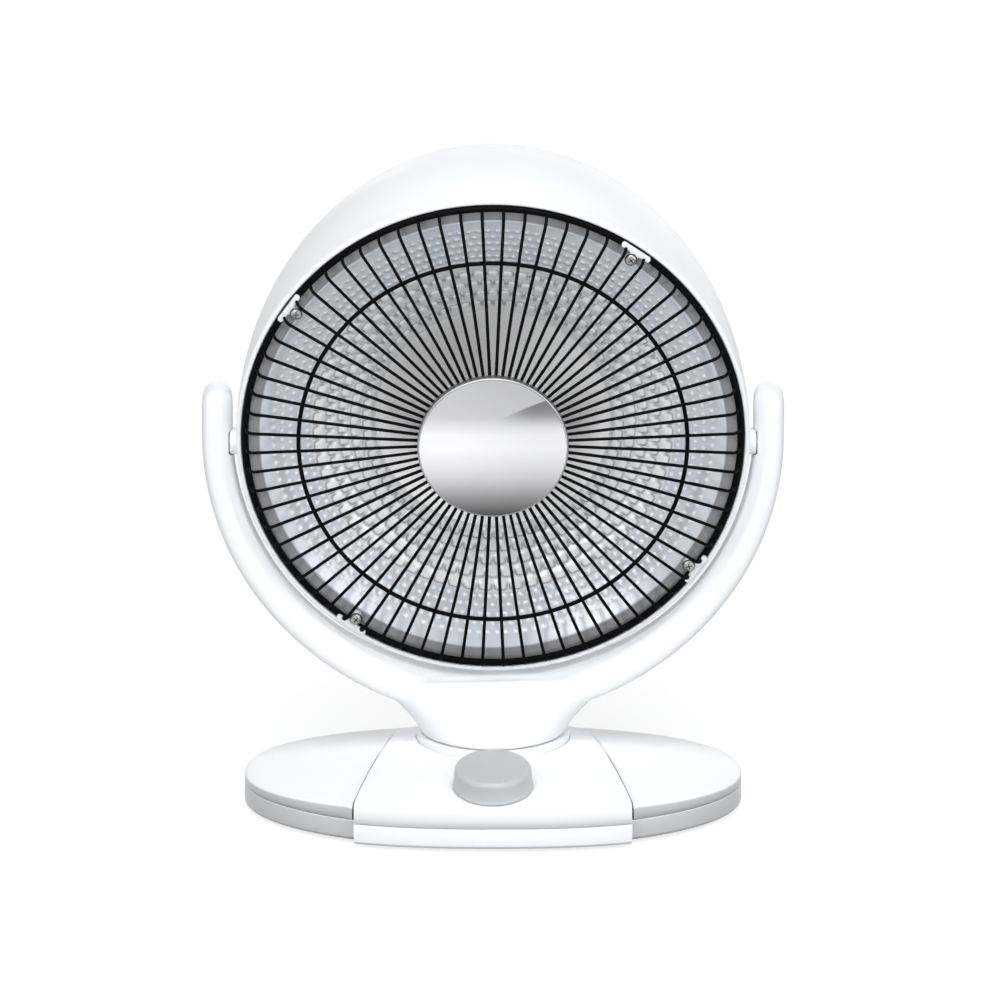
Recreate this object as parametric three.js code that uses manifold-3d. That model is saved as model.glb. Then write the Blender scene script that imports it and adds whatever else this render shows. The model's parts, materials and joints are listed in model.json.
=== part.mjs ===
// Parabolic heater: a round dish head tilts in a U-shaped yoke, and the yoke swivels on a winged base.
// Millimetres. X runs to the right seen from the front, Y runs to the back, Z is up.
import * as THREE from "three";
import { mergeVertices } from "three/addons/utils/BufferGeometryUtils.js";
import Module from "manifold-3d";

// ---- driving dimensions ----------------------------------------------------------------------

const GAP = 0.3; // between pieces that touch or are fitted together
const RUNNING_GAP = 0.1; // radial, between a turning shaft and its hole
const WALL = 2.4; // moulded plastic walls

// the photo's round guard, 300 mm across over its rim wire: most of the head and the yoke follow it
const GUARD_RING_R = 148;
const GUARD_RING_WIRE_R = 2.1;

// base
const FOOT_HEIGHT = 2.2;
const FOOT_R = 9;
const TRAY_BOTTOM_Z = FOOT_HEIGHT + GAP;
const SEAM_Z = 15; // where tray and covers meet
const BASE_HALF_WIDTH = 149;
const BASE_MIDDLE_Y = -9; // the widest line of the plan
const BASE_FRONT_DEPTH = 95;
const BASE_REAR_DEPTH = 76;
const BASE_REAR_SQUARENESS = 2.6; // exponent of the rear half's superellipse
const RIM_Z = 25; // top edge of the base at its middle
const TIP_DROP = 4.5; // how much lower the edge is at the wing tips
const CROWN_Z = 41; // top of the base's crown
const CROWN_POWER = 1.6;
const PANEL_HALF_WIDTH = 83; // centre panel, at its front corners
const PANEL_CORNER_Y = -88;
const PANEL_REAR_R = 61;
const PANEL_PROUD = 1.6; // how far the panel stands above the wings
const PANEL_FRONT_PROUD = 2;
const PANEL_FRONT_SQUARENESS = 2.4; // the panel's front is blunter than the wings' ellipse

// swivel
const COLLAR_R = 46;
const COLLAR_BOTTOM_Z = 38.6;
const COLLAR_TOP_Z = 43.6;
const SPIGOT_R = 23.7;
const SPIGOT_BORE_R = 11;
const SPIGOT_BOTTOM_Z = 32;
const WASHER_R = 38;
const WASHER_THICKNESS = 1.2;
const RETAINER_THICKNESS = 1.6;
const RETAINER_WIDTH = 6;

// knob and its switch
const KNOB_R = 24;
const KNOB_HEIGHT = 14;
const KNOB_Y = -77;
const KNOB_TILT = 12; // degrees, the panel's slope under the knob
const SHAFT_R = 3;
const SWITCH_WIDTH = 30;
const SWITCH_HEIGHT = 12;

// yoke
const RIM_R = GUARD_RING_R + 5.5; // the hood's rim, around the guard
const HEAD_CLEARANCE = 2; // between the hood's rim and the yoke
const YOKE_THICKNESS = 18.5;
const YOKE_INNER_R = RIM_R + HEAD_CLEARANCE;
const YOKE_OUTER_R = YOKE_INNER_R + YOKE_THICKNESS;
const YOKE_BOTTOM_Z = COLLAR_TOP_Z + 0.4;
const NECK_HEIGHT = 12; // from the yoke's bottom to the ring's lowest point
const YOKE_CENTRE_Z = YOKE_BOTTOM_Z + NECK_HEIGHT + YOKE_OUTER_R;
const ARM_TOP_Z = YOKE_CENTRE_Z + 29;
const ARM_FRONT_Y = -11.5;
const ARM_BACK_Y = 17;
const YOKE_FOOT_HALF_DEPTH = 30;
const YOKE_SPLIT_Y = 4;
const BEVEL_WIDTH = 7.5;
const BEVEL_DEPTH = 9;

// head
const PIVOT_Z = YOKE_CENTRE_Z - 5;
const HEAD_TILT = 7; // degrees, nose down
const PIVOT_SHAFT_R = 3;
const PIVOT_BOSS_R = 8;
const PIVOT_BOSS_OUT = YOKE_INNER_R + 2.1; // distance of the boss face from the middle
const PIVOT_BOSS_LENGTH = 16; // into the hood's wall
const BOWL_Y = -12; // rim plane, before the pivot
const BOWL_Z = 8; // bowl axis, above the pivot
const HOOD_LENGTH = RIM_R + 36.5; // semi-axis of the hood's elliptic profile
const HOOD_ELLIPSE_DEPTH = 128;
const HOOD_DEPTH = 146;
const HOOD_WALL = 2.5;
const HOOD_RISE = 0.174; // how fast the hood's middle climbs towards the back
const COVER_R = 84;
const COVER_THICKNESS = 3;
const LEDGE_R = GUARD_RING_R - 7;
const LEDGE_DEPTH = 3.6;
const LEDGE_THICKNESS = 2.4;

// reflector
const FLANGE_R = GUARD_RING_R - 1;
const DISH_R = FLANGE_R - 7.6;
const DISH_DEPTH = 34;
const DISH_WALL = 1;
const SOCKET_HOLE_R = 14;

// guard
const GUARD_BEND_R = GUARD_RING_R - 7;
const MIDDLE_RING_R = GUARD_BEND_R - 25;
const MIDDLE_RING_WIRE_R = 1.3;
const WIRE_R = 1;
const WIRE_COUNT = 72;
const GUARD_PROJECTION = 10; // from the outer ring's plane to the flat front
const HUB_R = 38;
const HUB_THICKNESS = 3;
const CAP_R = 45.2;
const CAP_HEIGHT = 6.4;
const CAP_WALL = 1.2;
const CLIP_SCREW_R = GUARD_RING_R - 5;
const CLIP_FIRST_ANGLE = 35; // degrees, midway between two wires
const CLIP_TAB_WIDTH = 20;
const CLIP_FOOT_WIDTH = 8.5;
const CLIP_THICKNESS = 2;

// heating element
const CORE_R = 11;
const CORE_LENGTH = 34;
const ELEMENT_FLANGE_R = 15;
const ELEMENT_FLANGE_THICKNESS = 3;
const HEAT_WIRE_R = 0.8;
const HEAT_WIRE_PITCH = 4.2;
const HEAT_WIRE_LOOPS = 5;
const HEAT_WIRE_CLEARANCE = 0.5;
const SOCKET_R = 13;
const SOCKET_LENGTH = 26;

// screws
const SCREW_R = 1.5;
const SCREW_HEAD_R = 3.8;
const SCREW_HEAD_HEIGHT = 2.2;

const ROUND = 24; // sides of a round piece
const HIDDEN_ROUND = 18;
const SMALL_ROUND = 10;
const SCREW_SIDES = 6;
const POST_SIDES = 6;

// ---- materials -------------------------------------------------------------------------------

function finish(color, roughness, metalness = 0) {
  return () => new THREE.MeshStandardMaterial({ color, roughness, metalness });
}

const whitePlastic = finish(0xf2f5f8, 0.4);
const greyPlastic = finish(0xc8cdd0, 0.45);
const blackPlastic = finish(0x1c1c1e, 0.5);
const rubber = finish(0x2a2a2c, 0.85);
const steel = finish(0xb8babc, 0.35, 1);
const chrome = finish(0xd8dadc, 0.12, 1);
const brightAluminium = finish(0xd0d4da, 0.22, 1);
const blackWire = finish(0x0c0c0d, 0.35);
const ceramic = finish(0xe6e0d4, 0.7);
const nichrome = finish(0x6e6a68, 0.5, 1);
const nylon = finish(0xe4e4dc, 0.55);

// ---- solids ----------------------------------------------------------------------------------

const wasm = await Module();
wasm.setup();
const WELD = 1e-4;

// A closed geometry as a solid, with its faces outward.
function toSolid(geometry) {
  const bare = new THREE.BufferGeometry();
  bare.setAttribute("position", geometry.getAttribute("position"));
  bare.setIndex(geometry.getIndex());
  const merged = mergeVertices(bare, WELD);
  const index = merged.getIndex().array;
  const triangles = [];
  for (let i = 0; i < index.length; i += 3) {
    const corners = [index[i], index[i + 1], index[i + 2]];
    if (new Set(corners).size === 3) triangles.push(...corners);
  }
  const vertProperties = new Float32Array(merged.getAttribute("position").array);
  const make = (triVerts) => new wasm.Manifold(new wasm.Mesh({ numProp: 3, vertProperties, triVerts }));
  const solid = make(new Uint32Array(triangles));
  return solid.volume() < 0 ? make(new Uint32Array(triangles).reverse()) : solid;
}

function toGeometry(solid) {
  const mesh = solid.getMesh();
  const geometry = new THREE.BufferGeometry();
  geometry.setAttribute("position", new THREE.BufferAttribute(new Float32Array(mesh.vertProperties), 3));
  geometry.setIndex(new THREE.BufferAttribute(new Uint32Array(mesh.triVerts), 1));
  return geometry;
}

function join(...geometries) {
  const solids = geometries.map(toSolid);
  return toGeometry(solids.slice(1).reduce((whole, next) => whole.add(next), solids[0]));
}

function cut(geometry, ...tools) {
  return toGeometry(tools.map(toSolid).reduce((whole, tool) => whole.subtract(tool), toSolid(geometry)));
}

function common(one, other) {
  return toGeometry(toSolid(one).intersect(toSolid(other)));
}

// ---- shapes ----------------------------------------------------------------------------------

const radians = THREE.MathUtils.degToRad;

// A cylinder that stands on z = bottom.
function cylinder(radius, bottom, top, sides = ROUND) {
  const height = top - bottom;
  return new THREE.CylinderGeometry(radius, radius, height, sides)
    .rotateX(Math.PI / 2)
    .translate(0, 0, bottom + height / 2);
}

// A round hole whose flat sides stay clear of a shaft of the given radius.
function bore(radius, bottom, top, sides = ROUND) {
  return cylinder(radius / Math.cos(Math.PI / sides), bottom, top, sides);
}

// A box given by its lowest and highest corners.
function box(low, high) {
  const size = high.map((value, axis) => value - low[axis]);
  const middle = high.map((value, axis) => (value + low[axis]) / 2);
  return new THREE.BoxGeometry(...size).translate(...middle);
}

// A profile of [radius, height] points turned about Z. An open profile starts and ends on the axis.
function turned(profile, sides = ROUND) {
  const points = profile.map(([radius, height]) => new THREE.Vector2(radius, height));
  return new THREE.LatheGeometry(points, sides).rotateX(Math.PI / 2);
}

function ring(inner, outer, bottom, top, sides = ROUND) {
  return turned([[inner, bottom], [outer, bottom], [outer, top], [inner, top], [inner, bottom]], sides);
}

// An outline of [x, y] points raised from z = bottom to z = top.
function prism(outline, bottom, top) {
  const shape = new THREE.Shape(outline.map(([x, y]) => new THREE.Vector2(x, y)));
  const geometry = new THREE.ExtrudeGeometry(shape, { depth: top - bottom, bevelEnabled: false });
  return geometry.translate(0, 0, bottom);
}

// A closed skin over rings of points, with a flat fan over the first and the last ring.
function loft(rings) {
  const count = rings[0].length;
  const positions = rings.flat().flatMap((point) => point.toArray());
  const index = [];
  for (let row = 0; row + 1 < rings.length; row++) {
    for (let i = 0; i < count; i++) {
      const next = (i + 1) % count;
      const [a, b] = [row * count + i, row * count + next];
      index.push(a, b, b + count, a, b + count, a + count);
    }
  }
  for (const [row, turn] of [[0, 1], [rings.length - 1, 0]]) {
    const middle = rings[row].reduce((sum, point) => sum.add(point), new THREE.Vector3());
    const centre = positions.length / 3;
    positions.push(...middle.divideScalar(count).toArray());
    for (let i = 0; i < count; i++) {
      const [a, b] = [row * count + i, row * count + ((i + 1) % count)];
      index.push(centre, turn ? b : a, turn ? a : b);
    }
  }
  const geometry = new THREE.BufferGeometry();
  geometry.setAttribute("position", new THREE.Float32BufferAttribute(positions, 3));
  geometry.setIndex(index);
  return geometry;
}

// A round wire along points, its rings square to the path and carried along it without twist.
function wire(points, radius, sides) {
  const side = new THREE.Vector3();
  const rings = points.map((point, i) => {
    const before = points[Math.max(i - 1, 0)];
    const after = points[Math.min(i + 1, points.length - 1)];
    const along = after.clone().sub(before).normalize();
    if (i === 0) {
      const least = Math.abs(along.x) < 0.8 ? new THREE.Vector3(1, 0, 0) : new THREE.Vector3(0, 0, 1);
      side.crossVectors(along, least).normalize();
    } else {
      side.addScaledVector(along, -side.dot(along)).normalize();
    }
    const up = new THREE.Vector3().crossVectors(along, side);
    return Array.from({ length: sides }, (_, k) => {
      const angle = (2 * Math.PI * (k + 0.5)) / sides;
      return point.clone()
        .addScaledVector(side, radius * Math.cos(angle))
        .addScaledVector(up, radius * Math.sin(angle));
    });
  });
  return loft(rings);
}

// A pan-head screw along +Z: its head's top at z = 0 and its shank running to z = length.
function screw(length) {
  return turned([
    [0, 0], [SCREW_HEAD_R * 0.7, 0], [SCREW_HEAD_R, SCREW_HEAD_HEIGHT],
    [SCREW_R, SCREW_HEAD_HEIGHT], [SCREW_R, length], [0, length],
  ], SCREW_SIDES);
}

// ---- scene graph -----------------------------------------------------------------------------

const heater = new THREE.Group();
const base = new THREE.Group();
const knobAxis = new THREE.Group();
const yoke = new THREE.Group();
const head = new THREE.Group();
heater.add(base, knobAxis, yoke, head);

function piece(group, name, geometry, material) {
  const mesh = new THREE.Mesh(toGeometry(toSolid(geometry)), material());
  mesh.name = name;
  mesh.geometry.computeVertexNormals();
  group.add(mesh);
  return mesh;
}

// ---- base ------------------------------------------------------------------------------------

// The plan is half an ellipse in front, blunter for the panel, and half a squarer one behind, drawn in
// by inset.
function basePlan(inset, frontProud = 0) {
  const sides = 36;
  const frontSquareness = frontProud ? PANEL_FRONT_SQUARENESS : 2;
  return Array.from({ length: sides }, (_, i) => {
    const angle = (2 * Math.PI * i) / sides;
    const [c, s] = [Math.cos(angle), Math.sin(angle)];
    const power = 2 / (s > 0 ? BASE_REAR_SQUARENESS : frontSquareness);
    const depth = (s > 0 ? BASE_REAR_DEPTH : BASE_FRONT_DEPTH + frontProud) - inset;
    const x = (BASE_HALF_WIDTH + frontProud - inset) * Math.sign(c) * Math.abs(c) ** power;
    return [x, BASE_MIDDLE_Y + depth * Math.sign(s) * Math.abs(s) ** power];
  });
}

function rimZ(x) {
  return RIM_Z - TIP_DROP * (x / BASE_HALF_WIDTH) ** 2;
}

// The crowned block that the base's covers are cut from.
function baseCrown(inset, frontProud, raise, bottom) {
  const steps = inset ? [1, 0.7, 0.35, 0.03] : [1, 0.985, 0.75, 0.45, 0.03];
  const plan = basePlan(inset, frontProud);
  const flat = plan.map(([x, y]) => new THREE.Vector3(x, y, bottom));
  const edge = 1.2;
  const rings = steps.map((s) => plan.map(([x, y]) => {
    const low = rimZ(x) + raise;
    const rounding = s === 1 ? edge : 0;
    const z = low + (CROWN_Z + raise - low) * (1 - s ** CROWN_POWER) - rounding;
    return new THREE.Vector3(x * s, BASE_MIDDLE_Y + (y - BASE_MIDDLE_Y) * s, z);
  }));
  return loft([flat, ...rings]);
}

// Height of the crown at a point on the middle line, in front.
function crownZ(y) {
  const s = (BASE_MIDDLE_Y - y) / BASE_FRONT_DEPTH;
  return RIM_Z + (CROWN_Z - RIM_Z) * (1 - s ** CROWN_POWER);
}

// The centre panel's keyhole plan, grown by margin: round behind, flaring to the front.
function panelPlan(margin) {
  const radius = PANEL_REAR_R + margin;
  const beyondFront = 5;
  const frontY = BASE_MIDDLE_Y - BASE_FRONT_DEPTH - PANEL_FRONT_PROUD - beyondFront;
  const cornerX = PANEL_HALF_WIDTH + margin;
  const reach = Math.hypot(cornerX, PANEL_CORNER_Y);
  const start = Math.atan2(PANEL_CORNER_Y, cornerX) + Math.acos(radius / reach);
  const sweep = Math.PI - 2 * start;
  const steps = 10;
  const arc = Array.from({ length: steps + 1 }, (_, i) => {
    const angle = start + (sweep * i) / steps;
    return [radius * Math.cos(angle), radius * Math.sin(angle)];
  });
  return [
    [cornerX, frontY], [cornerX, PANEL_CORNER_Y], ...arc, [-cornerX, PANEL_CORNER_Y], [-cornerX, frontY],
  ];
}

const TRAY_FLOOR_Z = TRAY_BOTTOM_Z + WALL;
const FRONT_ZONE = panelPlan(0);
const KNOB_SEAT_DEPTH = 0.6;
const mirrored = (x, y) => [[-x, y], [x, y]];
const FEET = [...mirrored(BASE_HALF_WIDTH - 37, -46), ...mirrored(BASE_HALF_WIDTH - 41, 34)];
const COVER_SCREWS = [...mirrored(BASE_HALF_WIDTH - 31, -24), ...mirrored(BASE_HALF_WIDTH - 45, 8)];
const PANEL_SCREWS = [[-58, -62], [58, -62], [0, 48]];
const POST_R = 4.6;
const TRAY_BOSS_R = 6.6;
const POST_BOTTOM_Z = 10;
const BASE_SCREW_LENGTH = 14;
const BASE_SCREW_Z = 3.4; // the countersunk head's face
const SWITCH_X = -42; // tip-over switch
const SWITCH_Y = 12;
const TIP_SWITCH_HALF_X = 9;
const TIP_SWITCH_HALF_Y = 7;
const TIP_SWITCH_HEIGHT = 23;
const PLUNGER_R = 3.5;
const TERMINAL_PLACE = [28, 22];
const TERMINAL_HALF_X = 17;
const TERMINAL_HALF_Y = 8;
const TERMINAL_HEIGHT = 13;
const TERMINAL_PITCH = 11;
const GLAND_Z = 9;
const GLAND_R = 3.8;
const GLAND_BORE_R = 2.6;
const GLAND_FLANGE_R = 6.2;
const BASE_REAR_Y = BASE_MIDDLE_Y + BASE_REAR_DEPTH;

function baseTray() {
  const outside = join(
    prism(basePlan(0), TRAY_BOTTOM_Z, SEAM_Z),
    common(prism(basePlan(0, PANEL_FRONT_PROUD), TRAY_BOTTOM_Z, SEAM_Z), prism(FRONT_ZONE, 0, SEAM_Z + 1)),
  );
  const hollow = prism(basePlan(WALL), TRAY_FLOOR_Z, SEAM_Z + 1);
  const screws = [...COVER_SCREWS, ...PANEL_SCREWS];
  const bosses = screws.map(([x, y]) => cylinder(
    TRAY_BOSS_R, TRAY_FLOOR_Z - 0.5, POST_BOTTOM_Z - GAP, POST_SIDES).translate(x, y, 0));
  const headPockets = screws.map(([x, y]) => bore(
    SCREW_HEAD_R + GAP, 0, BASE_SCREW_Z + SCREW_HEAD_HEIGHT + GAP, POST_SIDES).translate(x, y, 0));
  const shankHoles = screws.map(([x, y]) => bore(SCREW_R + GAP, 0, SEAM_Z, POST_SIDES).translate(x, y, 0));
  const footHoles = FEET.map(([x, y]) => bore(FOOT_R / 3 + GAP, 0, SEAM_Z, SMALL_ROUND).translate(x, y, 0));
  const plungerHole = bore(PLUNGER_R + GAP, 0, SEAM_Z, SMALL_ROUND).translate(SWITCH_X, SWITCH_Y, 0);
  const cordHole = bore(GLAND_R + GAP, 0, 20, SMALL_ROUND)
    .rotateX(Math.PI / 2).translate(0, BASE_REAR_Y + 10, GLAND_Z);
  return cut(join(cut(outside, hollow), ...bosses),
    ...headPockets, ...shankHoles, ...footHoles, plungerHole, cordHole);
}

function post([x, y], topZ) {
  return cylinder(POST_R, POST_BOTTOM_Z, topZ, POST_SIDES).translate(x, y, 0);
}

function postBore([x, y]) {
  return bore(SCREW_R + RUNNING_GAP, 0, BASE_SCREW_Z + BASE_SCREW_LENGTH + 1, POST_SIDES).translate(x, y, 0);
}

function baseCover() {
  const bottom = SEAM_Z + GAP;
  const shell = cut(baseCrown(0, 0, 0, bottom), baseCrown(WALL, 0, -WALL, bottom - 1));
  const posts = COVER_SCREWS.map((place) => post(place, CROWN_Z));
  const insideCrown = common(join(shell, ...posts), baseCrown(0, 0, 0, 0));
  return cut(insideCrown, prism(panelPlan(GAP), 0, CROWN_Z + 9), ...COVER_SCREWS.map(postBore));
}

function controlPanel() {
  const bottom = SEAM_Z + GAP;
  const crown = (inset, lower, from) => baseCrown(inset, PANEL_FRONT_PROUD, PANEL_PROUD - lower, from);
  const shell = cut(
    common(crown(0, 0, bottom), prism(FRONT_ZONE, bottom, CROWN_Z + 9)),
    common(crown(WALL, WALL, bottom - 1), prism(panelPlan(-WALL), bottom - 1, CROWN_Z)),
  );
  const collarSeat = cylinder(COLLAR_R + WALL, COLLAR_BOTTOM_Z - GAP - 3.4, COLLAR_BOTTOM_Z, HIDDEN_ROUND);
  const posts = PANEL_SCREWS.map((place) => post(place, COLLAR_BOTTOM_Z - 2 * WALL));
  const insideCrown = common(join(shell, collarSeat, ...posts), crown(0, 0, 0));
  const knobSeat = cylinder(KNOB_R + 1, -KNOB_SEAT_DEPTH, 20).rotateX(radians(KNOB_TILT))
    .translate(0, KNOB_Y, crownZ(KNOB_Y) + PANEL_PROUD);
  const shaftHole = bore(SHAFT_R + 1, -20, 20, SMALL_ROUND).rotateX(radians(KNOB_TILT))
    .translate(0, KNOB_Y, crownZ(KNOB_Y) + PANEL_PROUD);
  return cut(insideCrown,
    bore(COLLAR_R + GAP, COLLAR_BOTTOM_Z - GAP, CROWN_Z + 9),
    bore(SPIGOT_R + RETAINER_WIDTH + 1, 0, CROWN_Z + 9, HIDDEN_ROUND),
    knobSeat, shaftHole, ...PANEL_SCREWS.map(postBore));
}

function swivelCollar() {
  const washerSeat = COLLAR_TOP_Z - WASHER_THICKNESS - 0.1;
  const seatR = (WASHER_R + GAP) / Math.cos(Math.PI / ROUND);
  const edge = 1;
  return turned([
    [SPIGOT_R + GAP, COLLAR_BOTTOM_Z], [COLLAR_R, COLLAR_BOTTOM_Z], [COLLAR_R, COLLAR_TOP_Z - edge],
    [COLLAR_R - edge, COLLAR_TOP_Z], [seatR, COLLAR_TOP_Z], [seatR, washerSeat],
    [SPIGOT_R + GAP, washerSeat], [SPIGOT_R + GAP, COLLAR_BOTTOM_Z],
  ]);
}

function foot() {
  const stemTop = TRAY_FLOOR_Z + 2;
  return turned([[0, 0], [FOOT_R - 1, 0], [FOOT_R, FOOT_HEIGHT],
    [FOOT_R / 3, FOOT_HEIGHT], [FOOT_R / 3, stemTop], [0, stemTop]], SMALL_ROUND);
}

function tipSwitchBody() {
  const floor = TRAY_FLOOR_Z + GAP;
  const roof = 3;
  const body = box([-TIP_SWITCH_HALF_X, -TIP_SWITCH_HALF_Y, floor],
    [TIP_SWITCH_HALF_X, TIP_SWITCH_HALF_Y, floor + TIP_SWITCH_HEIGHT]);
  return cut(body, bore(PLUNGER_R + RUNNING_GAP, 0, floor + TIP_SWITCH_HEIGHT - roof, SMALL_ROUND));
}

const PLUNGER_TOP_Z = TRAY_FLOOR_Z + 10;
function tipPlunger() {
  return turned([[0, 0], [PLUNGER_R - 1, 0], [PLUNGER_R, 1], [PLUNGER_R, PLUNGER_TOP_Z], [0, PLUNGER_TOP_Z]],
    SMALL_ROUND);
}

function terminalBlock() {
  const floor = TRAY_FLOOR_Z + GAP;
  const wayR = 3;
  const wayDepth = 7;
  const body = box([-TERMINAL_HALF_X, -TERMINAL_HALF_Y, floor],
    [TERMINAL_HALF_X, TERMINAL_HALF_Y, floor + TERMINAL_HEIGHT]);
  const way = cylinder(wayR, TERMINAL_HEIGHT - wayDepth, TERMINAL_HEIGHT + 1, SMALL_ROUND);
  const ways = [-1, 0, 1].map((step) => way.clone().translate(step * TERMINAL_PITCH, 0, floor));
  return cut(body, ...ways);
}

function cordGland() {
  const flange = 2;
  const outer = BASE_REAR_Y + GAP;
  const length = flange + WALL + 4;
  return turned([[GLAND_BORE_R, 0], [GLAND_FLANGE_R, 0], [GLAND_FLANGE_R, flange], [GLAND_R, flange],
    [GLAND_R, length], [GLAND_BORE_R, length], [GLAND_BORE_R, 0]], SMALL_ROUND)
    .rotateX(Math.PI / 2).translate(0, outer + flange, GLAND_Z);
}

// ---- knob ------------------------------------------------------------------------------------

function knob() {
  const seat = GAP - KNOB_SEAT_DEPTH;
  const top = seat + KNOB_HEIGHT;
  const body = turned([
    [0, seat], [KNOB_R, seat], [KNOB_R, seat + 1.6], [KNOB_R - 0.5, seat + 2.2], [KNOB_R - 0.9, top - 2.6],
    [KNOB_R - 1.7, top - 0.8], [KNOB_R - 3.4, top], [0, top - 0.4],
  ]);
  const shaftHole = bore(SHAFT_R + GAP, seat - 1, top - 4, SMALL_ROUND);
  return cut(body, shaftHole);
}

function switchShaft() {
  return cylinder(SHAFT_R, -8, KNOB_HEIGHT - 5, SMALL_ROUND);
}

function rotarySwitch() {
  const top = -6;
  const half = SWITCH_WIDTH / 2;
  const body = box([-half, -half * 0.8, top - SWITCH_HEIGHT], [half, half * 0.8, top]);
  return cut(body, bore(SHAFT_R + RUNNING_GAP, -9, 1, SMALL_ROUND));
}

// ---- yoke ------------------------------------------------------------------------------------

// The arm's section at an angle from the lowest point, drawn in by inset: [radius, y] points.
function armSection(angle, inset) {
  const broad = Math.max(0, Math.cos(angle)) ** 2;
  const front = ARM_FRONT_Y - (YOKE_FOOT_HALF_DEPTH + ARM_FRONT_Y) * broad + inset;
  const back = ARM_BACK_Y + (YOKE_FOOT_HALF_DEPTH - ARM_BACK_Y) * broad - inset;
  const inner = YOKE_INNER_R + inset;
  const outer = YOKE_OUTER_R - inset;
  return [
    [inner, front + BEVEL_DEPTH - inset / 2], [inner + BEVEL_WIDTH - inset / 2, front],
    [outer - 3, front], [outer, front + 3.5], [outer, back - 3.5], [outer - 3, back],
    [inner + 3, back], [inner, back - 3.5],
  ];
}

// One arm section in space; above the ring's centre the arms stand straight up.
function armRing(angle, inset, rise = 0, squeeze = 1) {
  const middle = (YOKE_INNER_R + YOKE_OUTER_R) / 2;
  const side = new THREE.Vector3(Math.sin(angle), 0, -Math.cos(angle));
  return armSection(angle, inset).map(([radius, y]) => {
    const at = middle + (radius - middle) * squeeze;
    return side.clone().multiplyScalar(at).add(new THREE.Vector3(0, y, YOKE_CENTRE_Z + rise));
  });
}

const ARM_STEPS = 12;

function armsSolid(inset) {
  const steps = ARM_STEPS;
  const roundR = (YOKE_OUTER_R - YOKE_INNER_R) / 2;
  const straight = ARM_TOP_Z - YOKE_CENTRE_Z - roundR;
  const tops = [72, 36, 0].map((turn) => [
    straight + (roundR - inset) * Math.sin(radians(turn)), Math.cos(radians(turn)),
  ]);
  const left = tops.map(([rise, squeeze]) => armRing(-Math.PI / 2, inset, rise, squeeze));
  const right = tops.map(([rise, squeeze]) => armRing(Math.PI / 2, inset, rise, squeeze)).reverse();
  const lower = Array.from({ length: steps + 1 }, (_, i) => armRing(Math.PI * (i / steps - 1 / 2), inset));
  return loft([...left, ...lower, ...right]);
}

// Pedestal between the swivel and the ring: [height above the bottom, half width, half depth].
const PEDESTAL = [[0, 43, 43], [6, 46.3, 41.5], [14, 53.3, 38.2], [24, 64, 34], [36, 80, 30.5]];
const PEDESTAL_JOIN_R = YOKE_INNER_R + 4; // the pedestal ends inside the ring's own thickness

function pedestalSolid(inset) {
  const sides = 18;
  const floor = inset ? WALL : 0;
  const column = loft(PEDESTAL.map(([height, halfX, halfY], row) => Array.from({ length: sides }, (_, i) => {
    const angle = (2 * Math.PI * i) / sides;
    const z = YOKE_BOTTOM_Z + Math.max(height, row ? 0 : floor);
    return new THREE.Vector3((halfX - inset) * Math.cos(angle), (halfY - inset) * Math.sin(angle), z);
  })));
  const bowl = cylinder(PEDESTAL_JOIN_R + inset, -60, 60, 2 * ARM_STEPS);
  return cut(column, alongY(bowl, 0, YOKE_CENTRE_Z));
}

const YOKE_SCREW_R = YOKE_OUTER_R - YOKE_THICKNESS / 2 + 0.5; // the screws' circle, midway in the ring
const YOKE_SCREW_ANGLES = [-64.5, 64.5, -31, 31]; // degrees from the ring's lowest point
const YOKE_SCREWS = YOKE_SCREW_ANGLES.map((angle) => [
  YOKE_SCREW_R * Math.sin(radians(angle)), YOKE_CENTRE_Z - YOKE_SCREW_R * Math.cos(radians(angle)),
]); // [x, z]
const YOKE_SCREW_BACK_Y = ARM_BACK_Y - 1; // the heads' face
const YOKE_SCREW_LENGTH = 16;
const YOKE_POST_R = 6.4;
const PIVOT_WINDOW_R = PIVOT_BOSS_R + 0.6;
const PIVOT_WASHER_R = 6;

function alongY(geometry, x, z) {
  return geometry.rotateX(Math.PI / 2).translate(x, 0, z); // a height along Z becomes a height along -Y
}

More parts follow.
